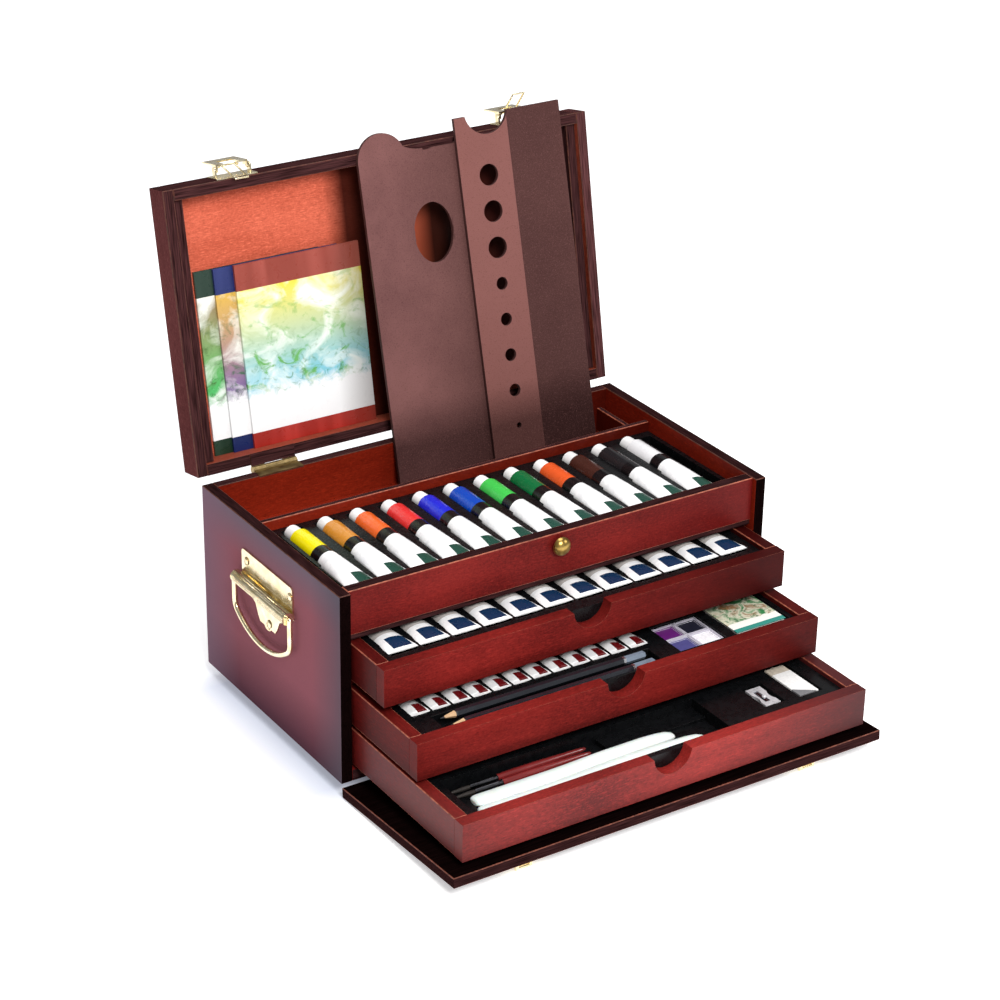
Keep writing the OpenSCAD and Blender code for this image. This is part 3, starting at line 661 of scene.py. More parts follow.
def booklet_cover(name, head, foot, high, low, leaf, shift):
    """Printed cover: header band, a watercolour wash that runs out to white, and a foot band; painted
    highlights on the bands and a painted shadow of the palette over its right end.
    """
    r = Recipe(name, Coat_Weight=0.25, Coat_Roughness=0.15, Specular_IOR_Level=0.25)
    if not r.fresh:
        return r.mat
    u, v, _ = r.axes(r.uv())
    sheet = r.stretch(r.uv(), shift=(shift, shift * 1.7, 0))
    clouds = r.noise(sheet, 0.34, 5, 0.55, 0.9)
    blots = r.noise(r.stretch(sheet, (1, 1.3, 1), shift=(9, 4, 0)), 0.55, 5, 0.6, 1.2)
    drops = r.noise(r.stretch(sheet, shift=(3, 17, 0)), 1.6, 4, 0.65, 0.8)
    rise = r.remap(v, 5.0, 12.0)
    wash = r.mix(r.remap(clouds, 0.34, 0.54, 0.15, 0.95), (0.86, 0.90, 0.84), r.mix(rise, low, high))
    wash = r.mix(r.times(r.remap(blots, 0.54, 0.66), r.remap(rise, 0.2, 0.9, 0.9, 0.35)), wash, leaf)
    wash = r.mix(r.times(r.remap(drops, 0.56, 0.66, 0, 0.6), r.remap(rise, 0.0, 0.5, 1.0, 0.15)),
                 wash, lifted(leaf, 0.5))
    edge = r.plus(v, r.times(drops, 2.4))
    colour = r.mix(r.remap(edge, 4.9, 6.0), (0.84, 0.85, 0.86), wash)
    # Painted highlight streaks on the header and foot bands
    painted_band_highlight = r.remap(r.noise(r.stretch(sheet, (1, 0.1, 1)), 0.5, 2), 0.45, 0.62, 0, 0.4)
    colour = r.mix(r.above(v, 12.0), colour, r.mix(painted_band_highlight, head, lifted(head, 1.7, 0.03)))
    colour = r.mix(r.below(v, 1.15), colour, r.mix(painted_band_highlight, foot, lifted(foot, 1.8, 0.02)))
    # Painted shadow of the palette over the cover's right end
    colour = r.mix(r.remap(u, 7.6, 10.4, 0, 0.5), colour, (0.05, 0.03, 0.02))
    return r.done(colour, r.remap(drops, 0.3, 0.7, 0.25, 0.35))


def page_stack():
    """Cut edges of a stack of pages."""
    r = Recipe("page_stack", Roughness=0.7)
    if not r.fresh:
        return r.mat
    pages = r.noise(r.stretch(r.spot(), (0.02, 0.02, 1)), 5000, 2)
    return r.done(r.ramp(pages, [(0.35, (0.45, 0.44, 0.40)), (0.6, (0.80, 0.79, 0.74))]))


# ---------------------------------------------------------------- sizes and colours a user may change
def shade(name, text, value):
    """A colour that a user may change."""
    return FloatVectorProperty(name=name, description=text, subtype="COLOR", size=3, default=value,
                               min=0, max=1)


class BoxWoods(bpy.types.PropertyGroup):
    outer_dark: shade("Outer dark", "Deepest tone of the outer stain", (0.070, 0.020, 0.020))
    outer_light: shade("Outer light", "Brightest tone of the outer stain", (0.150, 0.048, 0.048))
    red_dark: shade("Front dark", "Deepest tone of the red fronts", (0.060, 0.0030, 0.0028))
    red_light: shade("Front light", "Brightest tone of the red fronts", (0.250, 0.018, 0.0145))
    inner_dark: shade("Inside dark", "Deepest tone inside the lid", (0.32, 0.046, 0.020))
    inner_light: shade("Inside light", "Brightest tone inside the lid", (0.70, 0.155, 0.090))
    # The inside of the case takes darker, redder tones of the inner wood: painted shade.
    well_dark: shade("Well dark", "Deepest tone inside the case", (0.118, 0.006, 0.0022))
    well_light: shade("Well light", "Brightest tone inside the case", (0.265, 0.021, 0.0068))
    rim_dark: shade("Rim dark", "Deepest tone of the open-pored rims", (0.007, 0.0025, 0.0027))
    rim_light: shade("Rim light", "Brightest tone of the open-pored rims", (0.075, 0.028, 0.029))
    edge: shade("Rubbed edge", "Tone of edges where the stain is thin", (0.42, 0.12, 0.07))
    edge_width: FloatProperty(name="Edge rounding", description="Rounding of the board edges",
                              default=0.0006, min=0.0002, max=0.002, unit="LENGTH")


class BoxTubes(bpy.types.PropertyGroup):
    radius: FloatProperty(name="Tube radius", description="Radius of a large tube", default=0.0085,
                          min=0.006, max=0.0087, unit="LENGTH")
    cap: shade("Tube cap", "Colour of the screw caps", (0.86, 0.86, 0.86))


def woods():
    return bpy.context.scene.art_box_woods


def wood(kind, grain, turn=0.0, tag="", lift=1.0, gloss=0.08, tone_and_light_fades=()):
    """One of the smooth stains, from its two tones."""
    dark, light = (lifted(getattr(woods(), kind + end), lift) for end in ("_dark", "_light"))
    return stained_wood("stain_" + kind + "_" + grain + tag, dark, light, grain, turn, gloss, tone_and_light_fades)


def outer(grain, turn=0.0, tag="", tone_and_light_fades=()):
    return wood("outer", grain, turn, tag, gloss=0.0, tone_and_light_fades=tone_and_light_fades)


def red(grain, tag="", lift=1.0, gloss=0.08, tone_and_light_fades=()):
    return wood("red", grain, 0.0, tag, lift, gloss, tone_and_light_fades)


def inner(grain, tag, lift=1.0, tone_and_light_fades=()):
    return wood("inner", grain, LID_GRAIN, tag, lift, tone_and_light_fades=tone_and_light_fades)


# The inside of the case: darker tones of the inner wood as painted shade, by default with more painted shade
# towards the right.
def well(grain="X", tone_and_light_fades=(("X", -0.08, 0.17, 0.75, (0.022, 0.0016, 0.001)),)):
    return wood("well", grain, tone_and_light_fades=tone_and_light_fades)


def rim(grain="X", turn=0.0, tag="", lift=1.0):
    dark, light = lifted(woods().rim_dark, lift), lifted(woods().rim_light, lift)
    return open_grain("rim_" + grain + tag, dark, light, grain, turn)


def rubbed(lift=1.0, tag=""):
    return rubbed_edge("rubbed_edge" + tag, lifted(woods().edge, lift))


def dull_edge():
    return rubbed(0.25, "_dark")


def board(node, body, slot, mats, rule=None, place=HERE, cuts=()):
    """A rounded board at the place of a CAD node, with its faces stained."""
    piece = block(node + "_board", *local_box(node, place))
    for lo, hi in cuts:
        cut(piece, block("tool", lo, hi))
    soften(piece, woods().edge_width)
    stain(piece, mats, rule)
    return hand_over(settle(piece, place), body, slot, node)


def strips(name, node, body, slot, dress, place=CASE, width=None):
    """Rounded strips at the loose solids of a CAD node, joined; dress(strip, lo, hi) stains each."""
    parts = []
    for lo, hi in parts_of(node, place):
        strip = soften(block("strip", lo, hi), width or woods().edge_width)
        parts.append(settle(dress(strip, lo, hi), place))
    return hand_over(joined(name, parts), body, slot, node)


def hinge_slots(half_width, y0, z0, y1, z1):
    """Corner pairs of the two slots that take a pair of hinge leaves."""
    return [((x - half_width, y0, z0), (x + half_width, y1, z1)) for x in (-HINGE_X, HINGE_X)]


# ---------------------------------------------------------------- operators
# The left side: a tone all over, then painted sheen and painted shade by position.
LEFT_SIDE_TONE_AND_LIGHT = (("Z", -1, -0.9, 0.75, (0.291, 0.105, 0.133)),            # all over
              ("Z", 0.128, 0.158, 0.85, (0.140, 0.118, 0.152)),        # towards the top: painted sheen
              ("Z", 0.060, 0.012, 0.88, (0.058, 0.026, 0.039)),        # towards the floor: painted shade
              ("Y", 0.085, 0.135, 0.80, (0.190, 0.118, 0.158)),        # towards the back: painted sheen
              ("Y", -0.025, -0.066, 0.75, (0.086, 0.080, 0.102)))      # towards the front: painted shade with a grey sheen
RIGHT_SIDE_TONE_AND_LIGHT = (("Z", -1, -0.9, 0.5, (0.200, 0.070, 0.085)),            # all over
               ("Z", 0.100, 0.165, 0.5, (0.160, 0.085, 0.105)),        # towards the top: painted sheen
               ("Z", 0.085, 0.015, 0.6, (0.052, 0.027, 0.037)))        # towards the floor: painted shade
RAIL_PAINTED_SHADE = (("X", 0.05, 0.16, 0.5, (0.095, 0.0020, 0.0020)),         # painted shade towards the right end
              ("X", -0.13, -0.174, 0.35, (0.040, 0.002, 0.002)))       # painted shade towards the left end


class ARTBOX_OT_case(bpy.types.Operator):
    """Stained boards of the case"""
    bl_idname = "artbox.case"
    bl_label = "Case"

    def execute(self, context):
        self.boards()
        self.rails()
        strips("drawer_runner_strips", "drawer_runners", "case", "wood_red",
               lambda strip, lo, hi: stain(strip, [red("Y")]), width=0.0004)
        self.feet()
        return {"FINISHED"}

    def boards(self):
        dull = dull_edge()
        shared = [rim("Y", lift=0.50, tag="_top"), well("Y", ()), dull, rim("Y", lift=0.10, tag="_front")]
        for side, inside, skin in (("left", "+X", outer("Y", tone_and_light_fades=LEFT_SIDE_TONE_AND_LIGHT)),
                                   ("right", "-X", outer("Y", tag="_right", tone_and_light_fades=RIGHT_SIDE_TONE_AND_LIGHT))):
            board("case_" + side + "_side", "case", "wood_dark", [skin] + shared,
                  facing(("+Z", 1), ("-Y", 4), (inside, 2), worn=3))
        leaf, deep = 0.0185, 0.001                         # half width and depth of a lid hinge's slot
        lo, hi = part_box("case_back")
        board("case_back", "case", "wood_inner", [well(), outer("X"), rim(), dull],
              facing(("+Z", 2), ("+Y", 1), worn=3),
              cuts=hinge_slots(leaf, lo.y - OVER, hi.z - deep, hi.y + OVER, hi.z + OVER))
        leaf, deep, high = 0.0175, 0.00355, 0.00147        # the same for the drop front's hinges, from below
        lo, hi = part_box("case_bottom")
        board("case_bottom", "case", "wood_red", [red("X"), rim()], facing(("-Y", 1)),
              cuts=hinge_slots(leaf, lo.y - OVER, lo.z - OVER, lo.y + deep, lo.z + high))
        board("deck_board", "case", "wood_red", [rim(), well()], facing(("+Z", 1)))

    def rails(self):
        board("front_rail", "case", "wood_red",
              [red("X", tag="_rail", tone_and_light_fades=RAIL_PAINTED_SHADE), rim(lift=0.65, tag="_rail"), well(), rubbed()],
              facing(("+Z", 1), ("+Y", 2), worn=3))
        lo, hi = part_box("divider_rail")
        rail_back = lo.y + 0.0045                          # the long rail is this thick
        stop_left, stop_right, stop_top = 0.165, 0.169, at(0, 0, 145).z
        parts = []
        for a, b in (((lo.x, lo.y, lo.z), (hi.x, rail_back, hi.z)),
                     ((stop_left, rail_back, lo.z), (stop_right, hi.y, stop_top))):
            part = soften(block("rail", a, b), woods().edge_width)
            parts.append(stain(part, [well(), rim(), rubbed()], facing(("+Z", 1), worn=2)))
        hand_over(joined("divider_rail_strips", parts), "case", "wood_inner", "divider_rail")

    def feet(self):
        rubber = plain("foot_rubber", (0.02, 0.02, 0.02), 0.7)
        parts = []
        for lo, hi in parts_of("feet", CASE):
            height, radius = hi.z - lo.z, (hi.x - lo.x) / 2
            rings = [(0, radius * 0.86), (0.001, radius * 0.96), (0.003, radius), (height, radius)]
            foot = loft("foot", rings, 48)
            settle(foot, Matrix.Translation(((lo.x + hi.x) / 2, (lo.y + hi.y) / 2, lo.z)))
            parts.append(settle(stain(foot, [rubber]), CASE))
        hand_over(joined("turned_feet", parts), "case", "foot_pad", "feet")


PANEL_PAINTED_LIGHT = (("X", -0.045, -0.028, 0.95, (0.022, 0.002, 0.001)),     # painted shadow of the palettes, dark from near the middle
               ("X", 0.018, 0.028, 0.7, (0.42, 0.085, 0.042)),         # a painted lit stretch between two painted shadows
               ("X", 0.032, 0.046, 0.95, (0.014, 0.003, 0.002)),       # painted shadow again
               ("X", 0.088, 0.105, 0.9, (0.078, 0.016, 0.013)))        # painted shade, redder, towards the right end


class ARTBOX_OT_lid(bpy.types.Operator):
    """Boards of the opened lid"""
    bl_idname = "artbox.lid"
    bl_label = "Lid"

    def execute(self, context):
        dull = dull_edge()

        def rail(grain, face=None):
            """Outer stain, open-pored rim, red inside at half brightness as painted shade, and dull edges.
            """
            face = face or rim(grain, LID_GRAIN, "_lid")
            return [outer(grain, LID_GRAIN, "_lid"), face, inner(grain, "_rail", 0.5), dull]

        def side(strip, lo, hi):
            left = lo.x < 0
            face = rim("Y", LID_GRAIN, "_lid") if left else rim("Y", LID_GRAIN, "_lid_right", 1.7)
            inside = "+X" if left else "-X"
            return stain(strip, rail("Y", face), facing(("-Z", 1), ("-Y", 1), (inside, 2), worn=3))

        def cleat(strip, lo, hi):
            return stain(strip, [rim("Y", LID_GRAIN, "_lid"), dull], facing(worn=1))

        strips("lid_side_rails", "lid_sides", "lid", "wood_dark", side, LID)
        board("lid_front_rail", "lid", "wood_dark", rail("X"),
              facing(("-Z", 1), ("-Y", 1), ("+Y", 2), worn=3), LID)
        leaf, deep = 0.0185, 0.0004                        # slots that the lid hinges are let into
        lo, hi = local_box("lid_back_rail", LID)
        board("lid_back_rail", "lid", "wood_dark", rail("X"), facing(("-Z", 1), ("-Y", 2), worn=3), LID,
              hinge_slots(leaf, lo.y - OVER, lo.z - OVER, hi.y + OVER, lo.z + deep))
        board("lid_panel", "lid", "wood_inner",
              [inner("X", "_lid", tone_and_light_fades=PANEL_PAINTED_LIGHT), outer("X", LID_GRAIN, "_lid")],
              facing(("+Z", 1)), LID)
        strips("lid_cleat_strips", "lid_cleats", "lid", "wood_dark", cleat, LID)
        return {"FINISHED"}


class ARTBOX_OT_drop_front(bpy.types.Operator):
    """Board of the dropped front"""
    bl_idname = "artbox.drop_front"
    bl_label = "Drop front"

    def execute(self, context):
        # The top face takes the rim stain at about a tenth of its brightness: painted shade.
        top, sides = rim("X", FLAP_GRAIN, "_flap_top", 0.09), rim("X", FLAP_GRAIN, "_flap", 0.6)
        board("drop_front", "drop_front", "wood_dark", [top, sides, rubbed(0.45, "_flap")],
              facing(("+Z", 0), rest=1, worn=2), FLAP)
        return {"FINISHED"}


NOTCH_RADIUS, NOTCH_DEPTH = 0.016, 0.015                   # finger notch in a drawer's top edge
# Tone of the painted shade on the drawers: towards the right end, the left end and the lower edge of each
# front
PAINTED_SHADE_RED = (0.022, 0.0018, 0.0018)
LEFT_END_SHADE = ("X", -0.125, -0.174, 0.5, PAINTED_SHADE_RED)
DRAWERS = (                                                # the front's lift (drawer 3's is a painted lighter sheen), the walls' share of it (darker as painted shade), gloss, fades of painted shade
    (1.05, 0.6, 0.05, (("X", -0.06, 0.15, 0.88, PAINTED_SHADE_RED), LEFT_END_SHADE, ("Z", 0.100, 0.092, 0.4, PAINTED_SHADE_RED))),
    (1.0, 0.9, 0.05, (("X", 0.0, 0.16, 0.72, PAINTED_SHADE_RED), LEFT_END_SHADE, ("Z", 0.064, 0.057, 0.4, PAINTED_SHADE_RED))),
    (1.35, 0.9, 0.18, (("X", 0.06, 0.165, 0.85, (0.040, 0.009, 0.010)), LEFT_END_SHADE,
                       ("Z", 0.033, 0.024, 0.3, PAINTED_SHADE_RED))),
)


class ARTBOX_OT_drawers(bpy.types.Operator):
    """Fronts, sides, backs and bottoms of the three drawers"""
    bl_idname = "artbox.drawers"
    bl_label = "Drawers"

    def front(self, body, mats):
        def rule(centre, normal):
            """Rubbed edges along the top and around the notch."""
            top = 0.2 < normal.z < 0.985
            notch = 0.15 < abs(normal.x) < 0.985 and abs(centre.x) < 0.03
            return 1 if abs(normal.y) > 0.15 and (top or notch) else 0

        lo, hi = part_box(body + "_front")
        piece = block(body + "_front_board", lo, hi)
        z = hi.z + NOTCH_RADIUS - NOTCH_DEPTH
        cut(piece, rod("tool", (0, lo.y - 2 * OVER, z), (0, hi.y + 2 * OVER, z), NOTCH_RADIUS, 96))
        soften(piece, woods().edge_width)
        hand_over(stain(piece, mats, rule), body, "wood_red", body + "_front")

    def execute(self, context):
        for number, (lift, wall_shade_lift, gloss, tone_and_light_fades) in enumerate(DRAWERS, 1):
            body = "drawer_%d" % number
            tag = "_" + body
            skin = red("X", tag, lift, gloss, tone_and_light_fades)

            def wall(strip, lo, hi):
                grain = "X" if hi.x - lo.x > 0.1 else "Y"
                # The walls take the front's stain, darkened as painted shade.
                stained = red(grain, tag + "_wall", lift * wall_shade_lift, gloss, tone_and_light_fades)
                return stain(strip, [stained, rubbed()], facing(worn=1))

            self.front(body, [skin, rubbed()])
            strips(body + "_walls", body + "_frame", body, "wood_red", wall)
            board(body + "_bottom", body, "wood_red", [skin])
        return {"FINISHED"}


class ARTBOX_OT_trays(bpy.types.Operator):
    """Moulded black inserts"""
    bl_idname = "artbox.trays"
    bl_label = "Trays"

    def execute(self, context):
        bodies = {"top_tray": "top_tray", "drawer_1_tray": "drawer_1", "drawer_2_tray": "drawer_2",
                  "drawer_3_tray": "drawer_3"}
        for node, body in bodies.items():
            insert = recast(node + "_insert", node, 0.0006, [moulded_black()])
            hand_over(insert, body, "tray_black", node)
        return {"FINISHED"}


LABELS = ((0.90, 0.78, 0.0), (0.62, 0.25, 0.03), (0.80, 0.13, 0.02), (0.72, 0.03, 0.03),
          (0.01, 0.02, 0.60), (0.0, 0.06, 0.45), (0.05, 0.55, 0.08), (0.0, 0.14, 0.04),
          (0.75, 0.10, 0.02), (0.05, 0.015, 0.01), (0.012, 0.012, 0.014), (0.80, 0.80, 0.82))
TOP_PITCH = 26.87                                          # millimetres between two tubes of the top tray
TOP_START = -(len(LABELS) - 1) / 2 * TOP_PITCH
TOP_GAP = 14                                               # from the front rail to the crimps
TUBE_LENGTH = 91.5                                         # from a top tube's crimp to its cap


def tube_body(radius, crimp, length, full, rise):
    """A filled tube along Z: a flat crimp at 0, lifted to the tray face, swelling to a round shoulder."""
    fold, flat, steps = 0.0033, 0.0009, 9
    rings = [(0, crimp, 0.0005, rise), (0.0030, crimp, 0.0005, rise), (fold, crimp * 0.99, flat, rise)]
    for i in range(1, steps + 1):
        t = i / steps
        rings.append((fold + (full - fold) * t, crimp + (radius - crimp) * t ** 0.9,
                      flat + (radius - flat) * math.sin(t * math.pi / 2) ** 0.92, rise * (1 - t) ** 1.2))
    rings += [(length - 0.0012, radius), (length - 0.0003, radius * 0.97), (length, radius * 0.86)]
    return loft("tube_master", rings, 40)


def cap_body(radius, length):
    """A ribbed screw cap along Z."""
    ribs, groove = 24, 0.965
    profile = ((0, 1), (0.12, 1), (0.14, 0.96), (0.86, 0.93), (0.97, 0.9), (1, 0.84))
    cap = loft("cap_master", [(length * z, radius * r) for z, r in profile], ribs * 2)
    for v in cap.data.vertices:
        turn = math.atan2(v.co.y, v.co.x)
        if length * 0.13 < v.co.z < length * 0.96 and round(turn * ribs / math.pi) % 2:
            v.co.x *= groove
            v.co.y *= groove
    return cap


class ARTBOX_OT_tubes(bpy.types.Operator):
    """Paint tubes in the top tray and the two upper drawers"""
    bl_idname = "artbox.tubes"
    bl_label = "Tubes"

    def height(self, node):
        """Middle height of a row, in millimetres."""
        lo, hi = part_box(node)
        return (lo.z + hi.z) / 2 / MM

    def row(self, name, node, body, tube, enamel, start, pitch, y):
        """Copies a tube along a row, one for each label; start, pitch and y are millimetres."""
        stain(tube, [enamel])
        parts = []
        for i, label in enumerate(LABELS):
            crimp = at(start + i * pitch, y, self.height(node))
            part = twin(tube, "tube", Matrix.Translation(crimp) @ LAY_BACK)
            sheet_uv(part, crimp)
            tint(part, label)
            parts.append(part)
        bpy.data.objects.remove(tube)
        hand_over(joined(name, parts), body, "tube_metal", node)

    def caps(self, y):
        props = bpy.context.scene.art_box_tubes
        cap = stain(cap_body(0.00685, 0.012), [plain("cap_white", tuple(props.cap), 0.35, bump=0.03)])
        z = self.height("top_tubes")
        parts = [twin(cap, "cap", Matrix.Translation(at(TOP_START + i * TOP_PITCH, y, z)) @ LAY_BACK)
                 for i in range(len(LABELS))]
        bpy.data.objects.remove(cap)
        hand_over(joined("top_tray_caps", parts), "top_tray", "cap_white", "top_caps")

    def execute(self, context):
        radius = context.scene.art_box_tubes.radius
        y = (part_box("front_rail")[1].y - FRONT) / MM + TOP_GAP
        enamel = tube_print("tube_enamel_top", [(5.0, 6.1, (0.004, 0.004, 0.005)), (6.1, 9.3, "tint")],
                            (0.010, 0.055, 0.038), (-0.1, 1.02, 0.2, 1.7))
        tube = tube_body(radius, 0.0118, TUBE_LENGTH * MM, 0.050, 0.0033)
        self.row("top_tray_tubes", "top_tubes", "top_tray", tube, enamel, TOP_START, TOP_PITCH, y)
        self.caps(y + TUBE_LENGTH)
        enamel = tube_print("tube_enamel_navy", [(2.3, 3.6, (0.50, 0.47, 0.45)), (6.0, 9.0, "tint")],
                            (0.004, 0.026, 0.075), (-0.55, 0.98, 0.35, 1.75))
        tube = tube_body(radius, 0.0120, 0.102, 0.055, 0.0070)
        self.row("drawer_1_paint_tubes", "drawer_1_tubes", "drawer_1", tube, enamel, -142.45, 25.9, -17.5)
        enamel = tube_print("tube_enamel_wine", [(1.7, 2.2, (0.42, 0.36, 0.34)), (4.5, 6.8, "tint")],
                            (0.13, 0.006, 0.008), (-0.1, 0.60, 0.15, 1.2))
        tube = tube_body(0.006, 0.0078, 0.075, 0.040, 0.0052)
        self.row("drawer_2_paint_tubes", "drawer_2_tubes", "drawer_2", tube, enamel, -144.7, 16.7, -44.5)
        return {"FINISHED"}


THUMB_X, THUMB_Z = 0.03949, 0.1525                         # middle of the thumb hole, from the right edge
THUMB_WIDE, THUMB_HIGH = 0.017, 0.023                      # its half width and half height
SWEEP_X, SWEEP_Z = 0.0575, 0.2275                          # middle of the curve by the lobe, from the left
SWEEP_WIDE, SWEEP_HIGH = 0.0225, 0.0110                    # its half width and half height
STRIP_EDGE = 0.106                                         # where palette 2 turns from pale to dark
ALL_DARK = -1.0                                            # for the cut edges: left of all, so none is pale


class ARTBOX_OT_palettes(bpy.types.Operator):
    """The two standing palettes"""
    bl_idname = "artbox.palettes"
    bl_label = "Palettes"

    def oval_tool(self, lo, hi, x, z, wide, high, radius, verts):
        """An oval rod through a palette: a round one of this radius, scaled."""
        tool = rod("tool", (0, lo.y - OVER, 0), (0, hi.y + OVER, 0), radius, verts)
        tool.scale = (wide / radius, 1, high / radius)
        tool.location = (x, 0, z)
        return settle(tool)

    def fillers(self):
        """Pieces that turn the thumb slot into an oval and sweep the lobe into the top edge."""
        lo, hi = local_box("palette_1", PALETTE)
        left, right, half = hi.x - 0.0567, hi.x - 0.0223, 0.025            # the slot's sides and half height
        oval = block("oval", (left, lo.y, THUMB_Z - half), (right, hi.y, THUMB_Z + half))
        cut(oval, self.oval_tool(lo, hi, hi.x - THUMB_X, THUMB_Z, THUMB_WIDE, THUMB_HIGH, THUMB_WIDE, 96))
        left, right, foot, top = lo.x + 0.030, lo.x + 0.056, 0.212, 0.2235   # the corner beside the lobe
        sweep = block("sweep", (left, lo.y, foot), (right, hi.y, top))
        cut(sweep, self.oval_tool(lo, hi, lo.x + SWEEP_X, SWEEP_Z, SWEEP_WIDE, SWEEP_HIGH, 1.0, 128))
        return [settle(oval, PALETTE), settle(sweep, PALETTE)]

    def execute(self, context):
        edge = palette_board("palette_edge", ALL_DARK)
        for node, face, add in (("palette_1", palette_board(), self.fillers()),
                                ("palette_2", palette_board("palette_board_strip", STRIP_EDGE), ())):
            panel = recast(node + "_panel", node, 0.0004, [face, edge],
                           lambda centre, normal: 1 if abs(normal.y) < 0.9 else 0, add=add)
            hand_over(panel, node, "palette_board", node)
        return {"FINISHED"}


COVERS = {                                                 # header, foot, wash high and low, leaves, shift
    "red": ((0.24, 0.042, 0.028), (0.30, 0.018, 0.012), (0.74, 0.62, 0.02), (0.16, 0.50, 0.62),
            (0.10, 0.36, 0.05), 0),
    "blue": ((0.010, 0.018, 0.10), (0.006, 0.016, 0.09), (0.60, 0.35, 0.02), (0.16, 0.08, 0.25),
             (0.02, 0.12, 0.04), 31),
    "green": ((0.008, 0.026, 0.016), (0.006, 0.026, 0.013), (0.30, 0.16, 0.08), (0.02, 0.40, 0.07),
              (0.05, 0.12, 0.02), 67),
}


class ARTBOX_OT_booklets(bpy.types.Operator):
    """Three booklets that stand in the lid"""
    bl_idname = "artbox.booklets"
    bl_label = "Booklets"

    def execute(self, context):
        card, spine = 0.00028, 0.0003                      # thickness of a cover and of the spine
        fore, trim = 0.0008, 0.0005                        # how far the pages stand back from the covers
        paper = plain("page_edges", (0.82, 0.81, 0.77), 0.7)
        for number, (colour, print_values) in enumerate(COVERS.items(), 1):
            node = "booklet_%d" % number
            cover = booklet_cover("cover_" + colour, *print_values)
            lo, hi = local_box(node, LID)
            under, over = lo.z + card, hi.z - card
            parts = []
            for a, b, mat in (((lo.x, lo.y, lo.z), (hi.x, hi.y, under), cover),
                              ((lo.x, lo.y, over), (hi.x, hi.y, hi.z), cover),
                              ((lo.x + spine, lo.y + trim, under), (hi.x - fore, hi.y - trim, over), paper),
                              ((lo.x, lo.y, under), (lo.x + spine, hi.y, over), cover)):
                parts.append(stain(soften(block("sheet", a, b), 0.0001, 1), [mat]))
            piece = joined(node + "_card", parts)
            sheet_uv(piece, Vector((lo.x, hi.y, lo.z)), -1)
            hand_over(settle(piece, LID), node, "card_" + colour, node)
        return {"FINISHED"}


ROLL_RADIUS, ROLL_HALF, ROLL_DROP = 0.00475, 0.039, 0.022  # a handle plate's rolled edge
PLATE = 0.0016                                             # thickness of a handle plate
SCREWS = ((0.030, 0.0078), (-0.034, 0.0078), (-0.0025, 0.0442))    # from the plate's middle and top edge
SCREW_RINGS = ((0, 0.0032), (0.0004, 0.0031), (0.0009, 0.0024), (0.0011, 0.0012))
SLOT_WIDE, SLOT_LONG = 0.0004, 0.0028                      # half width and half length of a screw's slot


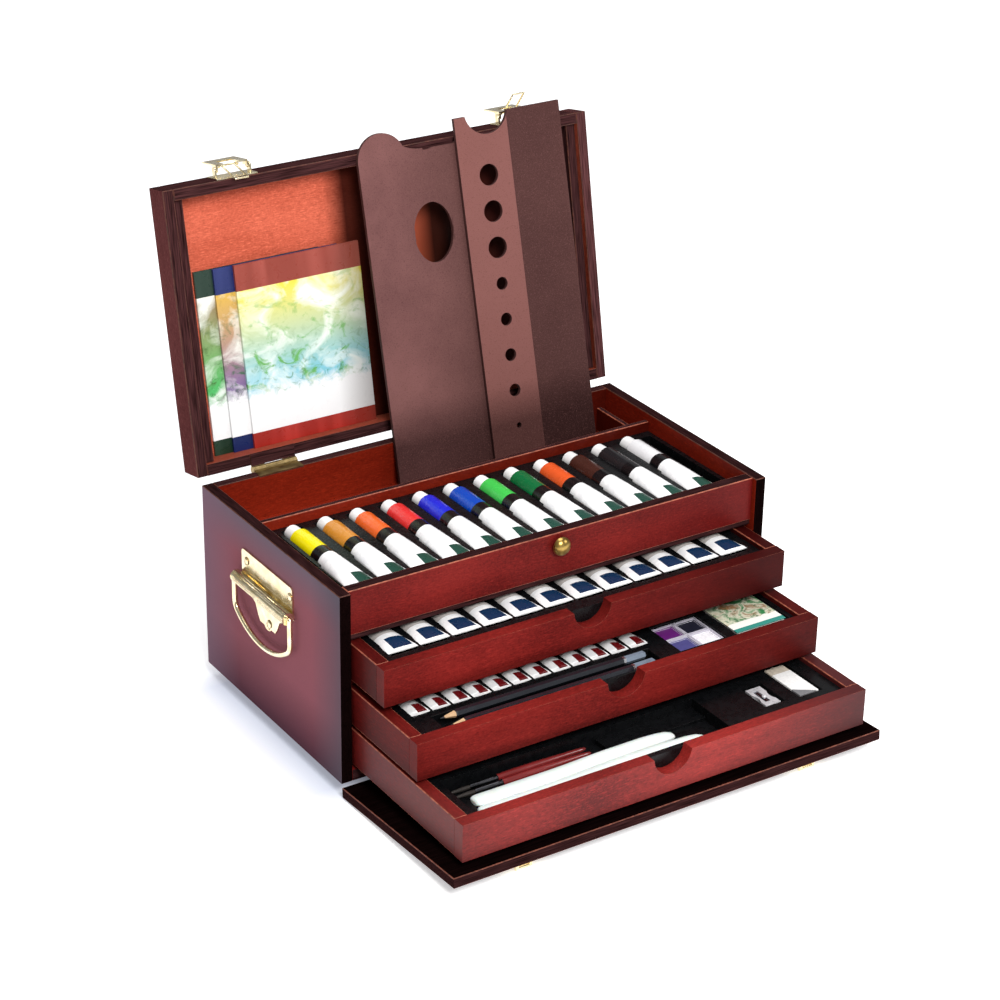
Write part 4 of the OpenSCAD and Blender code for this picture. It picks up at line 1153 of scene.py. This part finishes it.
class ARTBOX_OT_fittings(bpy.types.Operator):
    """Brass knob, hinges, handles, latches and strikes"""
    bl_idname = "artbox.fittings"
    bl_label = "Fittings"

    def execute(self, context):
        self.fixed_plates()
        self.moving_parts()
        self.screws()
        self.knob()
        return {"FINISHED"}

    def roll(self, node, sign):
        """The rolled edge that the bail of a handle turns in."""
        lo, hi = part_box(node)
        x = lo.x + ROLL_RADIUS if sign < 0 else hi.x - ROLL_RADIUS
        y, z = (lo.y + hi.y) / 2, hi.z - ROLL_DROP
        return rod("roll", (x, y - ROLL_HALF, z), (x, y + ROLL_HALF, z), ROLL_RADIUS, 64)

    def fixed_plates(self):
        def let_in(centre, normal):
            """The lid's leaf is let into the rail and stained over."""
            return 1 if (LID.inverted() @ centre).y < -0.0035 else 0

        brass, dark = polished_brass(), dark_brass()
        for node, body, metal, rule in (
                ("handle_plate_left", "case", brass, None), ("handle_plate_right", "case", brass, None),
                ("hinge_case_leaves", "case", dark, None), ("lid_hinge_leaves", "lid", dark, let_in),
                ("latch_bases", "lid", brass, None), ("drop_front_hinge_leaves", "drop_front", dark, None),
                ("strikes", "drop_front", brass, None)):
            rolls = [self.roll(node, -1 if node.endswith("left") else 1)] if "handle" in node else ()
            mats = [metal, rim("X", LID_GRAIN, "_lid")]
            piece = recast(node + "_fitting", node, 0.0002, mats, rule, 55, rolls)
            hand_over(piece, body, "brass", node)
        stain(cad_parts["hinge_pins"], [dark])

    def moving_parts(self):
        for side in ("left", "right"):
            for part in ("bail_", "latch_lever_", "latch_loop_"):
                node = part + side
                piece = recast(node + "_fitting", node, 0.00012, [polished_brass()], angle=50)
                hand_over(piece, node, "brass", node)

    def screws(self):
        for side, sign in (("left", -1), ("right", 1)):
            lo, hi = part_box("handle_plate_" + side)
            turn = Matrix.Rotation(math.radians(90 * sign), 4, "Y")
            inner_x, outer_x = sorted((sign * (HALF_CASE + 0.0022), sign * (HALF_CASE + 0.0030)))
            parts = []
            for across, down in SCREWS:
                y, z = (lo.y + hi.y) / 2 + across, hi.z - down
                screw = loft("screw", SCREW_RINGS)
                settle(screw, Matrix.Translation((sign * (HALF_CASE + PLATE), y, z)) @ turn)
                cut(screw, block("slot", (inner_x, y - SLOT_WIDE, z - SLOT_LONG),
                                 (outer_x, y + SLOT_WIDE, z + SLOT_LONG)))
                parts.append(stain(screw, [dark_brass(), polished_brass()],
                                   lambda centre, normal: 1 if abs(normal.x) > 0.8 else 0))
            hand_over(joined("handle_screws_" + side, parts), "case", "brass")

    def knob(self):
        lo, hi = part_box("knob")
        length, radius = hi.y - lo.y, (hi.x - lo.x) / 2
        neck, steps = 0.0030, 8
        rings = [(0, 0.0044), (0.0018, 0.0040), (0.0024, radius * 0.90), (neck, radius)]
        for i in range(1, steps + 1):
            turn = i / steps * math.pi / 2
            rings.append((neck + (length - neck) * math.sin(turn), radius * max(0.02, math.cos(turn))))
        piece = loft("domed_knob", rings, 48)
        middle = Vector(((lo.x + hi.x) / 2, hi.y, (lo.z + hi.z) / 2))
        settle(piece, Matrix.Translation(middle) @ Matrix.Rotation(math.radians(90), 4, "X"))
        hand_over(stain(piece, [knob_brass()]), "case", "brass", "knob")


def laid(piece, lo, hi, lift=0.0):
    """Lays a piece made along Z down along +X, in the middle of a box."""
    start = Vector((lo.x, (lo.y + hi.y) / 2, (lo.z + hi.z) / 2 + lift))
    return settle(piece, Matrix.Translation(start) @ LAY_RIGHT)


def by_length(*ends):
    """A rule for a piece along Z: the faces below each height take its slot, as in (0.003, 1)."""
    def rule(centre, normal):
        return next((slot for end, slot in ends if centre.z < end), ends[-1][1])
    return rule


class ARTBOX_OT_tools(bpy.types.Operator):
    """Pencils, pans, pad, brushes, knives, sharpener and eraser"""
    bl_idname = "artbox.tools"
    bl_label = "Tools"

    def execute(self, context):
        self.pencils()
        self.pans()
        self.pad()
        self.brushes()
        self.knives()
        self.sharpener()
        self.eraser()
        return {"FINISHED"}

    def pencils(self):
        mats = [plain("pencil_lacquer", (0.008, 0.010, 0.015), 0.25, coat=0.7),
                plain("pencil_lead", (0.02, 0.02, 0.022), 0.4),
                plain("pencil_cedar", (0.62, 0.40, 0.22), 0.6, scale=300),
                plain("pencil_band", (0.75, 0.76, 0.80), 0.25, 1.0),
                plain("pencil_tail", (0.16, 0.20, 0.26), 0.3, coat=0.5)]
        raised = 0.0055                                    # they rest across the tray's ribs
        parts = []
        for lo, hi in parts_of("pencils"):
            r, n = (hi.z - lo.z) / 2 * 0.86, hi.x - lo.x
            pencil = loft("pencil", [(0, 0.0003), (0.0030, 0.0008), (0.0031, 0.0009), (0.0115, r * 0.86),
                                     (0.0125, r), (n - 0.019, r), (n - 0.017, r * 1.01), (n - 0.001, r),
                                     (n, r * 0.8)], 6)
            for face in pencil.data.polygons:
                face.use_smooth = False
            stain(pencil, mats,
                  by_length((0.0030, 1), (0.0118, 2), (n - 0.019, 0), (n - 0.0168, 3), (n, 4)))
            parts.append(laid(pencil, lo, hi, raised))
        hand_over(joined("graphite_pencils", parts), "drawer_2", "pencil_wood", "pencils")

    def pans(self):
        case = plain("pan_clear", (0.52, 0.50, 0.58), 0.15, coat=0.5)
        tones = ((0.055, 0.050, 0.19), (0.13, 0.010, 0.17), (0.80, 0.78, 0.82), (0.008, 0.008, 0.022))
        parts = []
        for (lo, hi), tone in zip(parts_of("paint_pans"), tones):
            pan = block("pan", lo, hi)
            top = hi.z - 0.0001
            sink(pan, lambda centre, normal: centre.z > top, 0.0011, 0.0014)
            sink(pan, lambda centre, normal: normal.z > 0.9 and centre.z < top - 0.001, 0.0012, 0.0003)
            soften(pan, 0.0002)
            paint = plain("paint_block_%d" % len(parts), tone, 0.5, scale=500, bump=0.4)
            stain(pan, [case, paint], lambda centre, normal:
                  1 if top - 0.004 < centre.z < top - 0.0013 and normal.z > 0.6 else 0)
            parts.append(pan)
        hand_over(joined("paint_pan_box", parts), "drawer_2", "pan_plastic", "paint_pans")

    def pad(self):
        lo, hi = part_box("sketch_pad")
        card = 0.0006                                      # thickness of a cover, and the pages' set-back
        pages = soften(block("pages", (lo.x + card, lo.y + card, lo.z + card),
                             (hi.x - card, hi.y - card, hi.z - card)), 0.0003)
        back = soften(block("cover", lo, (hi.x, hi.y, lo.z + card)), 0.0002)
        top = soften(block("cover", (lo.x, lo.y, hi.z - card), hi), 0.0002)
        stain(pages, [page_stack()])
        stain(back, [plain("teal_card", (0.02, 0.16, 0.15), 0.4)])
        stain(top, [pad_cover()])
        piece = joined("sketch_pad_sheets", [pages, back, top])
        sheet_uv(piece, lo)
        hand_over(piece, "drawer_2", "paper_pad", "sketch_pad")

    def brushes(self):
        mats = [plain("brush_lacquer", (0.16, 0.012, 0.012), 0.16, coat=1.0),
                plain("brush_hair", (0.012, 0.008, 0.006), 0.7, scale=900, bump=0.5),
                plain("brush_collar", (0.05, 0.05, 0.055), 0.3, 1.0)]
        parts = []
        for lo, hi in parts_of("brushes"):
            n, r = hi.x - lo.x, (hi.z - lo.z) / 2
            brush = loft("brush", [(0, 0.0003), (0.005, 0.0011), (0.012, 0.0016), (0.018, 0.0015),
                                   (0.0181, 0.0019), (0.020, 0.0022), (0.036, 0.0023), (0.037, 0.0026),
                                   (0.038, 0.0023), (0.040, 0.0024), (0.0402, 0.0027), (0.055, r),
                                   (0.075, r * 0.93), (n - 0.006, r * 0.62), (n - 0.001, r * 0.45),
                                   (n, r * 0.2)], 28)
            stain(brush, mats, by_length((0.018, 1), (0.0401, 2), (n, 0)))
            parts.append(laid(brush, lo, hi))
        hand_over(joined("paint_brushes", parts), "drawer_3", "brush_wood", "brushes")

    def knives(self):
        plastic = plain("knife_plastic", (0.80, 0.83, 0.79), 0.32, coat=0.3, vary=0.04)
        plastic.node_tree.nodes["Principled BSDF"].inputs["Subsurface Weight"].default_value = 0.15
        parts = []
        for lo, hi in parts_of("palette_knives"):
            n, half, thick = hi.x - lo.x, (hi.y - lo.y) / 2 * 1.12, hi.z - lo.z
            rings = ((0, 0.60, 0.36), (0.0006, 0.80, 0.50), (0.0020, 0.92, 0.58), (0.0045, 1.0, 0.60),
                     (0.0100, 1.0, 0.60), (n * 0.40, 0.99, 0.62), (n * 0.48, 0.97, 0.70),
                     (n * 0.56, 0.95, 0.84), (n * 0.66, 0.92, 0.95), (n * 0.84, 0.88, 1.0),
                     (n - 0.014, 0.84, 0.92), (n - 0.006, 0.74, 0.80), (n - 0.0015, 0.52, 0.6),
                     (n, 0.3, 0.4))
            knife = loft("knife", [(z, thick / 2 * deep, half * wide) for z, wide, deep in rings], 28)
            for v in knife.data.vertices:                  # every ring keeps to the knife's flat underside
                deep = next(deep for z, _, deep in rings if abs(z - v.co.z) < 1e-6)
                v.co.x = max(-thick / 2, min(thick / 2, v.co.x)) + thick / 2 * (1 - deep)
            stain(knife, [plastic])
            parts.append(laid(knife, lo, hi))
        hand_over(joined("plastic_palette_knives", parts), "drawer_3", "knife_plastic", "palette_knives")

    def sharpener(self):
        steel = plain("sharpener_cast", (0.62, 0.62, 0.65), 0.3, 0.35, scale=200)
        bright = plain("sharpener_blade", (0.30, 0.30, 0.33), 0.15, 1.0)
        waist, bore = 0.0100, 0.0037                       # radii of the finger hollows and the pencil hole
        lo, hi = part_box("sharpener")
        mid = (lo + hi) / 2
        y = mid.y - 0.001
        body = block("sharpener", lo, hi)
        for side in (-1, 1):
            x = mid.x + side * ((hi.x - lo.x) / 2 + 0.0085)
            cut(body, rod("tool", (x, y, lo.z - OVER), (x, y, hi.z + OVER), waist, 48))
        z = lo.z + 0.005
        cut(body, rod("tool", (mid.x, lo.y - OVER, z), (mid.x, lo.y + 0.0155, z), bore, 40))
        cut(body, block("tool", (mid.x - 0.0034, lo.y + 0.005, lo.z + 0.0055),
                        (mid.x + 0.0012, hi.y - 0.004, hi.z + OVER)))
        stain(soften(body, 0.0003), [steel])
        blade = block("blade", (mid.x - 0.0012, lo.y + 0.004, hi.z - 0.0016),
                      (mid.x + 0.0036, hi.y - 0.0035, hi.z - 0.0008))
        stain(soften(blade, 0.0001), [bright])
        screw = loft("screw", [(0, 0.0018), (0.0008, 0.0017), (0.0014, 0.0010)])
        stain(settle(screw, Matrix.Translation((mid.x + 0.0012, mid.y, hi.z - 0.0010))), [steel])
        piece = joined("pencil_sharpener", [body, blade, screw])
        hand_over(piece, "drawer_3", "sharpener_metal", "sharpener")

    def eraser(self):
        lo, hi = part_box("eraser")
        split = hi.y - 0.009                               # where the rubber leaves its sleeve
        rubber = soften(block("rubber", (lo.x, split - 0.001, lo.z), hi), 0.0008, 3)
        stain(rubber, [plain("eraser_rubber", (0.50, 0.44, 0.36), 0.75, scale=400, bump=0.3)])
        sleeve = soften(block("sleeve", lo, (hi.x, split, hi.z)), 0.0005)
        stain(sleeve, [eraser_sleeve()])
        piece = joined("wrapped_eraser", [rubber, sleeve])
        sheet_uv(piece, lo)
        hand_over(piece, "drawer_3", "eraser_soft", "eraser")


LAMPS = (                                                  # name, place, aim, size, power and tone
    ("key_soft", (-0.55, -1.9, 1.9), (0, 0, 0.15), 0.9, 62, (1, 0.98, 0.96)),
    ("fill_soft", (1.8, -1.3, 1.5), (0, 0, 0.15), 1.0, 16, (1, 1, 1)),
    ("top_soft", (0.2, 0.4, 2.6), (0, 0, 0.1), 1.6, 36, (0.98, 0.99, 1)),
)
EYE = (-979.4, -1410.7, 1032.3)                            # the camera, in millimetres
YAW, PITCH, ROLL = 33.2727, -26.2298, 0.9977               # its turns, in degrees
LENS = 97.53


class ARTBOX_OT_stage(bpy.types.Operator):
    """Pale floor with painted shadows under and beside the box, soft lights and the camera"""
    bl_idname = "artbox.stage"
    bl_label = "Stage"

    def execute(self, context):
        self.floor()
        self.lights()
        self.camera()
        context.scene.view_settings.view_transform = "Standard"
        return {"FINISHED"}

    def floor(self):
        clear()
        bpy.ops.mesh.primitive_plane_add(size=12, location=(0, 0, -0.0001))
        floor = named("floor")
        r = Recipe("pale_floor", Roughness=0.7)
        x, y, _ = r.axes(r.spot())
        # Painted shadow under the box: the floor's colour and glow turn black over the case's footprint,
        # sharp at the front and fading towards the back
        deep = r.times(r.remap(y, -0.0695, -0.0690), r.remap(y, 0.125, 0.060))
        under = r.times(r.remap(r.maths("ABSOLUTE", x), 0.172, 0.140), deep)
        # Painted bluish shadow beside the case's left side
        middle = r.maths("ABSOLUTE", r.maths("SUBTRACT", y, 0.034))
        painted_shadow_left = r.times(r.remap(x, -0.235, -0.180, 0, 0.62), r.remap(middle, 0.125, 0.085))
        painted_shadow_left = r.times(painted_shadow_left, r.below(x, -0.12))
        tone = r.mix(painted_shadow_left, (0.90, 0.90, 0.91), (0.28, 0.34, 0.48))
        r.feed(r.bsdf.inputs["Emission Color"], r.mix(under, tone, (0, 0, 0)))
        r.bsdf.inputs["Emission Strength"].default_value = 0.55
        stain(floor, [r.done(r.mix(under, tone, (0.02, 0.02, 0.02)))])

    def lights(self):
        scene = bpy.context.scene
        scene.world = scene.world or bpy.data.worlds.new("studio")
        scene.world.use_nodes = True
        background = scene.world.node_tree.nodes["Background"]
        background.inputs["Color"].default_value = (1, 1, 1, 1)
        background.inputs["Strength"].default_value = 0.30
        for name, place, aim, size, power, tone in LAMPS:
            clear()
            bpy.ops.object.light_add(type="AREA", location=place)
            lamp = bpy.context.active_object
            lamp.name = name
            lamp.data.size, lamp.data.energy, lamp.data.color = size, power, tone
            lamp.rotation_euler = (Vector(aim) - Vector(place)).to_track_quat("-Z", "Y").to_euler()

    def camera(self):
        yaw, pitch, roll = (math.radians(turn) for turn in (YAW, PITCH, ROLL))
        ahead = Vector((math.sin(yaw) * math.cos(pitch), math.cos(yaw) * math.cos(pitch), math.sin(pitch)))
        level = ahead.cross(Vector((0, 0, 1))).normalized()
        upright = level.cross(ahead)
        right = level * math.cos(roll) + upright * math.sin(roll)
        up = upright * math.cos(roll) - level * math.sin(roll)
        place = Matrix((right, up, -ahead)).transposed().to_4x4()
        place.translation = at(*EYE)
        clear()
        bpy.ops.object.camera_add()
        camera = bpy.context.active_object
        camera.name = "camera"
        camera.matrix_world = place
        camera.data.lens, camera.data.sensor_width, camera.data.clip_end = LENS, 36, 50
        bpy.context.scene.camera = camera


class ARTBOX_PT_panel(bpy.types.Panel):
    bl_label = "Art box"
    bl_idname = "ARTBOX_PT_panel"
    bl_space_type = "VIEW_3D"
    bl_region_type = "UI"
    bl_category = "Art box"

    def draw(self, context):
        for group in (context.scene.art_box_woods, context.scene.art_box_tubes):
            for prop in group.__annotations__:
                self.layout.prop(group, prop)
        for step in STEPS:
            self.layout.operator(step.bl_idname)


STEPS = (ARTBOX_OT_case, ARTBOX_OT_lid, ARTBOX_OT_drop_front, ARTBOX_OT_drawers, ARTBOX_OT_trays,
         ARTBOX_OT_tubes, ARTBOX_OT_palettes, ARTBOX_OT_booklets, ARTBOX_OT_fittings, ARTBOX_OT_tools,
         ARTBOX_OT_stage)
CLASSES = (BoxWoods, BoxTubes) + STEPS + (ARTBOX_PT_panel,)


def register():
    for cls in CLASSES:
        bpy.utils.register_class(cls)
    bpy.types.Scene.art_box_woods = PointerProperty(type=BoxWoods)
    bpy.types.Scene.art_box_tubes = PointerProperty(type=BoxTubes)


def unregister():
    del bpy.types.Scene.art_box_tubes
    del bpy.types.Scene.art_box_woods
    for cls in reversed(CLASSES):
        bpy.utils.unregister_class(cls)


def main():
    register()
    for step in STEPS:
        group, name = step.bl_idname.split(".")
        if getattr(getattr(bpy.ops, group), name)() != {"FINISHED"}:
            raise RuntimeError(step.bl_label + " did not finish")


if __name__ == "__main__":
    main()
